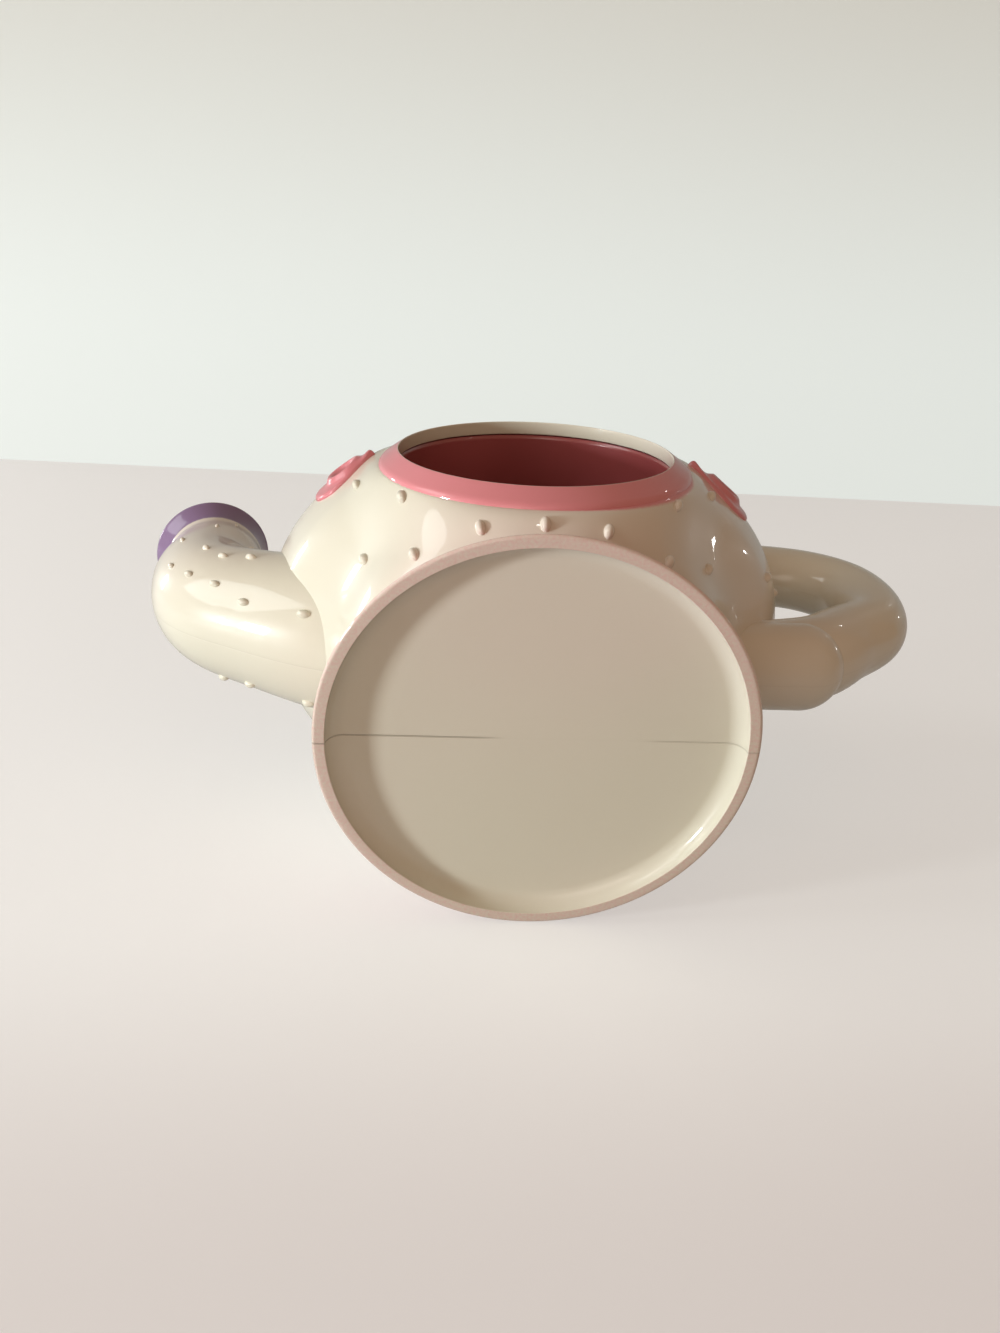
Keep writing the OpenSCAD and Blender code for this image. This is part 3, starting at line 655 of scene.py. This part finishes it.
# %% Handle
handle_reach, handle_top, handle_thick = 94.0, 97.0, 9.0
handle_x = handle_reach * np.array([0.30, 0.635, 0.835, 0.965, 1, 0.96, 0.85, 0.735, 0.54])
handle_z = handle_top * np.array([0.86, 1.01, 1.005, 0.915, 0.78, 0.64, 0.545, 0.46, 0.415])
handle_r = handle_thick * np.array([0.97, 0.97, 0.97, 0.99, 1.02, 1.05, 1.10, 1.16, 1.16])
t_h = np.linspace(0, 8, 180)
mid_h, way_h = path(handle_x, handle_z, t_h)
rad_h = between(handle_r, t_h)
rad_h[[0, -1]] = 0  # both ends close to a point inside the body
handle_sides = 72
handle_points = tube(mid_h, way_h, rad_h, np.arange(handle_sides)[None, :] * 2 * np.pi / handle_sides)
handle = piece("handle", handle_points, quads(*handle_points.shape[:2]), shell_pearl,
               paint=unpainted(handle_points))

# %% Knuckle
knuckle_x, knuckle_z, knuckle_r = handle_reach * 0.695, handle_top * 0.415, 10.7
root_x, knuckle_sides = float(half_w(knuckle_z)) * 0.8, 120
cap = np.radians(np.linspace(90, 0, 26))
along = np.r_[root_x, np.linspace(root_x, knuckle_x, 40)[:-1], knuckle_x + knuckle_r * np.cos(cap)]
width = np.r_[0, np.full(39, knuckle_r), knuckle_r * np.sin(cap)]
kn_mid = np.column_stack([along, np.full(len(along), knuckle_z)])
kn_way = np.tile([1.0, 0.0], (len(along), 1))
kn_points = tube(kn_mid, kn_way, width, np.arange(knuckle_sides)[None, :] * 2 * np.pi / knuckle_sides)
kn_keep = np.ones((len(along) - 1, knuckle_sides), bool)
knuckle_screw = np.array([knuckle_x - knuckle_r / 2, knuckle_z])
open_tube_hole(kn_points, kn_keep, kn_mid, kn_way, width, knuckle_screw)
knuckle = piece("handle_knuckle", kn_points, quads(*kn_points.shape[:2])[kn_keep], shell_pearl,
                paint=unpainted(kn_points))

# %% [markdown]
# ## Raised seeds
# The skin is sprinkled with small raised grains, long ones on the body and shorter ones on the spout. Their
# places were read off the front and mirrored, and a grain that would touch the ring, a bow, the spout, the
# handle or a screw is left out. Each is half an ellipsoid with its own height, width and length directions,
# and one array holds them all.

# %% Where the seeds stand
seed_h, seed_w, seed_l = 1.2, 2.3, 3.8
seed_shares = np.array([  # turn from the window in degrees, height as a share of the widest level
    [0, 0.245], [18, 0.26], [38, 0.288], [78, 0.297], [102, 0.297], [121.5, 0.297],
    [141, 0.297], [160.5, 0.297], [180, 0.297], [54, 0.467], [111, 0.453], [131, 0.453], [150, 0.453],
    [170, 0.453], [38.5, 0.495], [80, 0.62], [100, 0.62], [121, 0.62], [141, 0.62], [161, 0.62],
    [180, 0.62], [42, 0.773], [69, 0.8], [111, 0.8], [131, 0.8], [151, 0.8], [171, 0.8], [80, 1], [100, 1],
    [121, 1], [141, 1], [161, 1], [180, 1], [50, 1.18], [70, 1.18], [110, 1.18], [130, 1.18], [150, 1.18],
    [170, 1.18], [58, 1.33], [82, 1.33], [98, 1.33], [122, 1.33], [144, 1.33], [165, 1.33], [72, 1.45],
    [108, 1.45], [150, 1.45]])
bow_z, bow_l, bow_h = 61.4, 20.5, 27.0
bow_az = np.degrees(np.arcsin((ring_r + 0.475 * bow_l) / float(half_w(bow_z))))
bow_mid = skin_at(bow_az, bow_z)
bow_turn = np.arctan2(bow_mid[0] / float(half_w(bow_z)) ** 2, -bow_mid[1] / float(half_d(bow_z)) ** 2)
mirrored = seed_shares[(seed_shares[:, 0] % 180) != 0] * [-1, 1]
az, height = np.vstack([seed_shares, mirrored]).T * np.array([[1], [belly_z]])
p = skin_at(az, height)
girth_above, girth_below = (np.linalg.norm(skin_at(az, height + d)[:, :2], axis=1) for d in (1, -1))
slope = (girth_above - girth_below) / 2
screws_xz = np.array(body_screws + [tuple(spout_screw[0]), tuple(knuckle_screw)])
to_screw = np.linalg.norm(p[:, None, [0, 2]] - screws_xz[None], axis=-1).min(axis=1)
bow_u = (np.abs(p[:, 0]) - bow_mid[0]) * np.cos(bow_turn) + (p[:, 1] - bow_mid[1]) * np.sin(bow_turn)
bow_reach = bow_h * (0.1 + 0.4 * np.clip((bow_u + bow_l / 2) / (bow_l - bow_h / 4), 0, 1))
to_ring = np.hypot(p[:, 0], p[:, 2] - window_z) - ring_r
to_spout = np.hypot(p[:, 1], (p[:, 2] - spout_top / 2) * 0.8) - spout_root_r
to_knuckle = np.hypot(p[:, 1], p[:, 2] - knuckle_z) - knuckle_r
to_handle = np.hypot(p[:, 1], p[:, 2] - handle_top * 0.96) - handle_thick
on_front = p[:, 1] < 0
ring_gap, screw_gap = 0.3, 4.5
clear = (np.abs(p[:, 1]) > seed_w) & (~on_front | (to_ring > ring_gap)) & ((p[:, 0] > 0) | (to_spout > seed_l))
clear &= (p[:, 0] < 0) | (np.minimum(to_knuckle, to_handle) > seed_l)
clear &= on_front | (to_screw > screw_gap + seed_l / 2)
p, _ = lifted(p)
clear &= ~on_front | (np.abs(bow_u) > bow_l / 2 + seed_w) | (np.abs(p[:, 2] - bow_z) > bow_reach + seed_l / 2)
a = np.radians(az[clear])
flat_out = np.column_stack([np.sin(a), -np.cos(a), 0 * a])
lift = np.arctan(slope[clear])[:, None]
seed_out = flat_out * np.cos(lift) - np.array([0, 0, 1]) * np.sin(lift)
seed_long = flat_out * np.sin(lift) + np.array([0, 0, 1]) * np.cos(lift)
print("body seeds:", int(clear.sum()))

# %% Seeds on the spout
# station along the spout, turn about its centre line in degrees
spout_seeds = np.array([[1.06, 143], [1.98, 142], [2.52, 132], [2.94, 130], [3.35, 132], [3.19, 98], [4.85, 82],
                        [4.09, 112], [2.71, 102], [2.31, 97], [3.05, 55], [3.9, 40], [4.7, 30], [5.6, 60]])
both = np.vstack([np.column_stack([spout_seeds, -np.ones(len(spout_seeds))]),
                  np.column_stack([spout_seeds, np.ones(len(spout_seeds))])])
c, w = path(spout_x, spout_z, both[:, 0])
far = (both[:, 2] < 0) | (np.linalg.norm(c - spout_screw[0], axis=1) > screw_gap)
both, c, w = both[far], c[far], w[far]
a = np.radians(both[:, 1] * both[:, 2])
s_out = np.column_stack([w[:, 1] * np.cos(a), np.sin(a), -w[:, 0] * np.cos(a)])
s_long = np.column_stack([w[:, 0], 0 * a, w[:, 1]])
s_at = np.column_stack([c[:, 0], 0 * a, c[:, 1]]) + s_out * between(spout_r, both[:, 0])[:, None]
print("spout seeds:", len(s_at))


# %% Seeds as one mesh
seed_rings, seed_sides, seed_sunk = 8, 18, 0.35


def grains(at, out, long, size):
    """Half ellipsoids: at + out (h cos p - sunk) + sin p (w cos q across + l sin q long), scaled by size."""
    p = np.linspace(0, np.pi / 2, seed_rings)[:, None]
    q = np.arange(seed_sides)[None, :] * 2 * np.pi / seed_sides
    high = (np.cos(p) + 0 * q) * (seed_h + seed_sunk) - seed_sunk
    wide, far_off = np.sin(p) * np.cos(q), np.sin(p) * np.sin(q)
    side = np.cross(long, out)
    at, out, long, side = (v[:, None, None, :] for v in (at, out, long, side))
    shape = (out * high[None, ..., None] + side * (wide * seed_w / 2)[None, ..., None]
             + long * far_off[None, ..., None] * seed_l / 2)
    return at + shape * size[:, None, None, None]


spout_size = np.interp(both[:, 0], [1, 3, 5.6], [0.95, 0.78, 0.42])
seed_points = np.concatenate([grains(p[clear], seed_out, seed_long, np.ones(int(clear.sum()))),
                              grains(s_at, s_out, s_long, spout_size)])
one = quads(seed_rings, seed_sides).reshape(-1, 4)
seed_faces = (one[None] + np.arange(len(seed_points))[:, None, None] * seed_rings * seed_sides).reshape(-1, 4)
seeds = piece("raised_seeds", seed_points, seed_faces, shell_pearl, paint=unpainted(seed_points))


# %% [markdown]
# ## The bows
# A loop of a bow lies on each side of the window, moulded apart and pegged into the shell. Its outline is drawn
# flat and laid onto the skin as a thin flange, thicker at the knot by the ring. On it stands an oval ridge round
# a hollow, which reads as folded ribbon. The hollow is darkened with painted shade.

# %% Bows
def bow_surface(side, length, tall, middle, ridge_at):
    """Points at shares s of the outline's reach at angle q, lifted off the skin by a flange with a round edge,
    a knot at the ring's end and a ridge exp(-((d - 1) / 0.3)^2), d being 1 on the oval. Also the hollow's painted
    shade."""
    s = np.r_[np.linspace(0, 0.85, 44), 1 - 0.15 * np.cos(np.radians(np.linspace(15, 90, 10)))][:, None]
    q = np.arange(200)[None, :] * 2 * np.pi / 200
    half = 0.12 + 0.38 * np.clip((np.cos(q) + 1) / 1.30, 0, 1) ** 0.75
    away = s * length / 2 * np.cos(q) + (length - bow_l) / 2
    up = s * tall * np.sin(q) * half
    oval = np.hypot((away - ridge_at) / 4.0, (up + 0.4) / 3.6)
    edge = np.sqrt(np.clip(1 - ((s - 0.85) / 0.15).clip(0) ** 2, 0, 1))
    knot = np.exp(-((away + bow_l / 2) / 2.6) ** 2)
    ridge = np.exp(-((oval - 1) / 0.30) ** 2)
    high = edge * (0.85 + 0.8 * knot + 1.15 * ridge - 0.35 * np.exp(-(oval / 0.6) ** 2))
    # painted shade: 1 in the middle of the hollow, 0 from the ridge outwards, to darken the colour there
    shade = np.clip(1.15 - oval / 0.75, 0, 1)
    x = side * (bow_mid[0] + away * np.cos(bow_turn))
    z = middle + up
    y = -depth_at(x, z)
    step = 0.05
    slope_x = (depth_at(x + step, z) - depth_at(x - step, z)) / (2 * step)
    slope_z = (depth_at(x, z + step) - depth_at(x, z - step)) / (2 * step)
    normal = np.stack([-slope_x, -np.ones_like(x), -slope_z], axis=-1)
    normal /= np.linalg.norm(normal, axis=-1, keepdims=True)
    base, _ = lifted(np.stack([x, y, z], axis=-1))
    sunk = base - normal * 0.3
    under = np.concatenate([sunk[-1:], np.broadcast_to(sunk[:1, :1], base[:1].shape)])
    return np.concatenate([base + normal * high[..., None], under]), np.vstack([shade, 0 * shade[:2]])


bow_tall, bow_middle = 15.5, 65.0
for side_name, side, length, ridge_at in (("left_bow", -1, 18.5, -1.5), ("right_bow", 1, 20.5, 1.0)):
    bow_points, bow_shade = bow_surface(side, length, bow_tall, bow_middle, ridge_at)
    # the hollow's painted shade goes onto the mesh as a float attribute
    bow = piece(side_name + "_loop", bow_points, quads(*bow_points.shape[:2]), bow_pink,
                paint={"painted_hollow_shade": bow_shade})
    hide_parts(side_name)

# %% [markdown]
# ## Neck, lid and knob
# These face away from the camera, so they follow what such a pot has: a short upright neck, a shallow well,
# a domed lid with a plug ring and a round knob held by a screw.

# %% Neck and well
neck_r, neck_z, well_floor = 26.5, 101.0, 92.0
neck_line = rounded([[0, well_floor], [neck_r - wall, well_floor], [neck_r - wall, neck_z], [neck_r, neck_z],
                     [neck_r, 88.5], [0, 88.5]], [0, 0.8, 0.7, 0.7, 0.2, 0], 6)
neck_points = turned(refined(neck_line, 1.5), 200, upright)
neck = piece("neck", neck_points, quads(*neck_points.shape[:2]), shell_pearl,
             paint=unpainted(neck_points), sharp=50)

# %% Lid
lid_base, lid_r, lid_h, plug_r, plug_h = 101.3, 28.5, 11.0, 23.8, 5.0
dome = np.radians(np.linspace(0, 90, 30))
hollow = np.radians(np.linspace(75, 0, 16))
lid_line = np.vstack([
    [[0, lid_h - 2.0], [2.8, lid_h - 2.0], [2.8, lid_h - 2.2]],
    np.column_stack([(plug_r - 2) * np.cos(hollow), 1 + (lid_h - 3.0) * np.sin(hollow)]),
    rounded([[plug_r - 2, 1], [plug_r - 2, -plug_h], [plug_r, -plug_h], [plug_r, 0], [lid_r - 1, 0], [lid_r, 1],
             [lid_r, 2]], [0, 0.5, 0.5, 0.3, 0.8, 0.8, 0], 5),
    np.column_stack([lid_r * np.cos(dome), 2 + (lid_h - 2) * np.sin(dome)])])
lid_points = turned(refined(lid_line + [0, lid_base], 1.2), 200, upright)
lid = piece("lid_shell", lid_points, quads(*lid_points.shape[:2]), lid_pearl, body="lid",
            paint=unpainted(lid_points), sharp=50)
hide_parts("lid")

# %% Knob
knob_r, knob_low = 7.5, lid_base + lid_h
ball = np.radians(np.linspace(-62, 90, 40))
knob_line = np.vstack([[[0, 0.02], [5.6, 0.02], [5.3, 0.6], [4.6, 1.4], [3.95, 2.4], [3.8, 3.0]],
                       np.column_stack([knob_r * np.cos(ball), 9.0 + knob_r * np.sin(ball)])[1:]])
knob_points = turned(refined(knob_line + [0, knob_low], 0.8), 120, upright)
knob = piece("knob_ball", knob_points, quads(*knob_points.shape[:2]), knob_pink, body="lid")
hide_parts("lid_knob")

# %% [markdown]
# ## Screws in their wells
# Six screws close the halves from the back. Each lies deep in a round well, and its head carries a cross
# recess. The head is a polar grid whose height drops where the two arms of the cross lie.

# %% Screws
seat_share = 0.5
seats = [seat_share * float(depth_at(x, z)) for x, z in body_screws]
seats += [seat_share * float(between(spout_r, screw_station)), seat_share * knuckle_r]
head_rings, screw_sides, shank_r, cross_arm, cross_w, cross_deep = 16, 48, 1.2, 1.4, 0.55, 0.8


def screw_rows(top):
    """Radius and height of a screw from its head, domed by 0.1 r^2, to the tip of its shank."""
    head = np.linspace(0, 2.3, head_rings)
    return np.vstack([np.column_stack([head, 1.8 - 0.10 * head ** 2]),
                      [[2.5, 0.9], [2.5, 0.0], [shank_r, 0.0], [shank_r, -top], [0, -top - 0.4]]])


def screw(centre, axis, length):
    """Head and shank about an axis, with a cross sunk into the head by smooth steps."""
    line = screw_rows(length)
    q = np.arange(screw_sides)[None, :] * 2 * np.pi / screw_sides
    x, y = line[:, :1] * np.cos(q), line[:, :1] * np.sin(q)
    past_x, past_y = (10 * np.clip(np.abs(v) - cross_arm, 0, 1) for v in (x, y))
    arm = np.minimum(np.abs(x) + past_y, np.abs(y) + past_x)
    top = (np.arange(len(line)) < head_rings)[:, None]
    h = line[:, 1:] + 0 * q - cross_deep * top * np.clip((cross_w - arm) / 0.3, 0, 1)
    side, other = np.eye(3)[0], np.eye(3)[2 if axis[1] else 1]
    return np.array(centre) + x[..., None] * side + y[..., None] * other + h[..., None] * np.array(axis, float)


all_screws = [*body_screws, tuple(spout_screw[0]), tuple(knuckle_screw)]
screw_points = np.stack([screw((x, seat, z), (0, 1, 0), seat + 8.0) for (x, z), seat in zip(all_screws, seats)])
one = quads(*screw_points.shape[1:3]).reshape(-1, 4)
block = screw_points.shape[1] * screw_points.shape[2]
screw_faces = (one[None] + np.arange(len(screw_points))[:, None, None] * block).reshape(-1, 4)
shell_screws = piece("closing_screws", screw_points, screw_faces, zinc_steel, sharp=40)
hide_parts("shell_screws")
knob_screw_points = screw((0, 0, lid_base + lid_h - 2.0), (0, 0, -1), 10.0)
knob_screw = piece("knob_fixing", knob_screw_points, quads(*knob_screw_points.shape[:2]), zinc_steel,
                   body="lid", sharp=40)
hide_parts("knob_screw")


# %% Screw wells
well_sides, shank_hole_r = 64, 1.35


def well(spot, seat, rim_y):
    """A well from the skin's edge, whose depth follows the skin, down to a flat seat."""
    q = np.arange(well_sides) * 2 * np.pi / well_sides
    x, z = spot[0] + (screw_hole_r + 0.03) * np.cos(q), spot[1] + (screw_hole_r + 0.03) * np.sin(q)
    rows = [np.column_stack([x, rim_y(x, z) - drop, z]) for drop in (0.0, 0.5)]
    for radius in (screw_hole_r, shank_hole_r):
        x, z = spot[0] + radius * np.cos(q), spot[1] + radius * np.sin(q)
        rows.append(np.column_stack([x, np.full(well_sides, seat), z]))
    return np.stack(rows)


def spout_back(x, z):
    """Depth of the spout's back at x and z, from the nearest station of its centre line."""
    gap = np.linalg.norm(mid[None] - np.column_stack([x, z])[:, None], axis=-1)
    n = gap.argmin(axis=1)
    return np.sqrt(np.clip(rad[n] ** 2 - gap[np.arange(len(n)), n] ** 2, 0, None))


def knuckle_back(x, z):
    """Depth of the knuckle's back, a cylinder along x: sqrt(r^2 - (z - middle)^2)."""
    return np.sqrt(np.clip(knuckle_r ** 2 - (z - knuckle_z) ** 2, 0, None)) + 0 * x


wells = [well(spot, seat, depth_at) for spot, seat in zip(body_screws, seats)]
wells.append(well(spout_screw[0], seats[4], spout_back))
wells.append(well(knuckle_screw, seats[5], knuckle_back))
wells = np.stack(wells)
one = quads(4, well_sides).reshape(-1, 4)
well_faces = (one[None] + np.arange(len(wells))[:, None, None] * 4 * well_sides).reshape(-1, 4)
screw_wells = piece("screw_wells", wells, well_faces, shell_pearl, paint=unpainted(wells), sharp=40)

# %% [markdown]
# ## Table, wall and light
# The pot lies on a pale table in front of a pale wall. The table is a plane that touches the rim of the foot
# and just grazes the back of the belly. It and the wall are seen from their front side only, so that they never
# stand between the object and a camera on the other side. They glow for the camera and for mirrors alone, so the
# background is pale without more light on the pot.

# %% Stage
belly_gap, rim_gap = 1.0, 0.2
tilt = np.arctan2(belly_d / 2 + belly_gap - foot_r, belly_z)
table_up = np.array([0, -np.cos(tilt), np.sin(tilt)])
table_at = np.array([0, foot_r, 0]) - table_up * rim_gap


def on_table(px, py):
    """Where the ray through a pixel of the photograph's frame meets the table."""
    ray = ahead + right * (px - frame_w_px / 2) / focal_px + down * (py - frame_h_px / 2) / focal_px
    return eye + ray * ((table_at - eye) @ table_up) / (ray @ table_up)


def stage_plane(name, corners, material):
    """A flat four-sided stage piece."""
    mesh = bpy.data.meshes.new(name)
    mesh.from_pydata([tuple(np.array(c) * MM) for c in corners], [], [(0, 1, 2, 3)])
    obj = bpy.data.objects.new(name, mesh)
    mesh.materials.append(material)
    bpy.context.collection.objects.link(obj)
    return obj


def one_sided(name, matt, glow, far_glow, axis, near, far):
    """A matt surface that also glows for the camera and for mirrors, and is clear when its back is seen. The
    glow changes along an axis of the pot's frame, from near to far in metres."""
    r = Recipe(name)
    r.finish(Base_Color=matt, Roughness=0.8, Specular_IOR_Level=0.1)
    rays = r.add("LightPath").outputs
    mirrored = r.math("MULTIPLY", rays["Is Glossy Ray"], 0.4)
    seen = r.math("MAXIMUM", rays["Is Camera Ray"], r.math("MAXIMUM", mirrored, rays["Is Transmission Ray"]))
    along = r.add("SeparateXYZ", {"Vector": r.spot}).outputs[axis]
    glow = r.mix(r.ramp(along, near, far), glow, far_glow)
    r.finish(Emission_Color=glow, Emission_Strength=seen)
    blend = r.add("MixShader", {0: r.add("NewGeometry").outputs["Backfacing"], 1: r.shader.outputs[0],
                                2: r.add("BsdfTransparent").outputs[0]})
    out = next(n for n in r.tree.nodes if n.type == "OUTPUT_MATERIAL")
    r.tree.links.new(blend.outputs[0], out.inputs["Surface"])
    return r.material


# %% Table and wall
edge_left_px, edge_right_px, wall_rise, table_run = (-1400, 393), (2400, 572), 1500, 1440
far_l, far_r = on_table(*edge_left_px), on_table(*edge_right_px)
near = -np.cross(right, table_up)
near = near / np.linalg.norm(near)
near = near * np.sign(near @ (eye - table_at)) * table_run
table_pale = one_sided("table_pale", (0.50, 0.50, 0.50), (0.39, 0.36, 0.345), (0.51, 0.50, 0.48), "Z", -0.09, 0.0)
table = stage_plane("table", [far_l, far_l + near, far_r + near, far_r], table_pale)
wall_top = table_up * wall_rise
wall_pale = one_sided("wall_pale", (0.25, 0.25, 0.24), (0.63, 0.67, 0.64), (0.44, 0.42, 0.37), "Y", 0.02, -0.30)
backdrop = stage_plane("wall", [far_l + wall_top, far_l, far_r, far_r + wall_top], wall_pale)
table.visible_shadow = False
backdrop.visible_shadow = False
for obj, facing in ((table, table_up), (backdrop, -ahead)):
    normal = np.array(obj.data.polygons[0].normal)
    if normal @ facing < 0:
        obj.data.flip_normals()
print("table edge at", far_l.round(), far_r.round())

# %% [markdown]
# ### Lamps
# Soft window light comes from the left in two panes, with the sky above them, a weak warm light from the room,
# and five small lamps far off whose only work is to glint in the gloss. Area lamps are used, because their
# reflections have the shape of panes.

# %% Lamps
def lamp(name, way, distance, size, power, colour=(1, 1, 1)):
    """A soft box of a width and height in metres, in the direction way from the pot's middle, facing the pot."""
    way = np.array(way, float) / np.linalg.norm(way)
    data = bpy.data.lights.new(name, "AREA")
    data.shape, data.energy, data.color = "RECTANGLE", power, colour
    data.size, data.size_y = size
    obj = bpy.data.objects.new(name, data)
    x = np.cross([0.01, 0.02, 1.0], way)
    x = x / np.linalg.norm(x)
    m = np.eye(4)
    m[:3, :3] = np.stack([x, np.cross(way, x), way], axis=1)
    m[:3, 3] = np.array([0, 0, pot_middle]) + way * distance
    obj.matrix_world = Matrix(m.tolist())
    bpy.context.collection.objects.link(obj)
    return obj


pot_middle = 0.055
lamp("window_light", (-0.90, -0.13, -0.40), 0.75, (0.10, 0.08), 3.6, (0.96, 1.0, 1.0))
lamp("second_pane", (-0.85, -0.05, 0.50), 0.75, (0.12, 0.07), 0.5, (0.96, 1.0, 1.0))
lamp("sky_light", (-0.82, -0.54, -0.05), 0.9, (0.4, 0.4), 1.7, (0.94, 0.99, 1.0))
lamp("room_light", (-0.25, -0.35, -0.90), 1.1, (0.5, 0.5), 1.15, (1.0, 0.88, 0.78))
lamp("back_light", (-0.3, 0.85, 0.5), 0.9, (0.8, 0.8), 0.8, (1.0, 0.92, 0.85))
for number, way in enumerate([(0.67, -0.54, 0.51), (0.73, -0.26, 0.64), (0.88, -0.12, 0.47),
                          (0.72, -0.58, -0.35), (0.02, -0.98, -0.20)]):
    lamp(f"glint_{number}", way, 0.8, (0.02, 0.02), 0.03)

# %% [markdown]
# ### World
# The room throws a dim, warm light from everywhere, while the camera sees plain pale air beyond the table.

# %% World
world = bpy.data.worlds.new("room")
bpy.context.scene.world = world
world.use_nodes = True
tree = world.node_tree
background = tree.nodes["Background"]
light_path = tree.nodes.new("ShaderNodeLightPath")
seen = tree.nodes.new("ShaderNodeBackground")
seen.inputs["Color"].default_value = (0.80, 0.80, 0.78, 1)
seen.inputs["Strength"].default_value = 1.0
background.inputs["Color"].default_value = (1.0, 0.64, 0.39, 1)
background.inputs["Strength"].default_value = 0.30
choose = tree.nodes.new("ShaderNodeMixShader")
tree.links.new(light_path.outputs["Is Camera Ray"], choose.inputs[0])
tree.links.new(background.outputs[0], choose.inputs[1])
tree.links.new(seen.outputs[0], choose.inputs[2])
tree.links.new(choose.outputs[0], tree.nodes["World Output"].inputs["Surface"])
print("world light", background.inputs["Strength"].default_value)
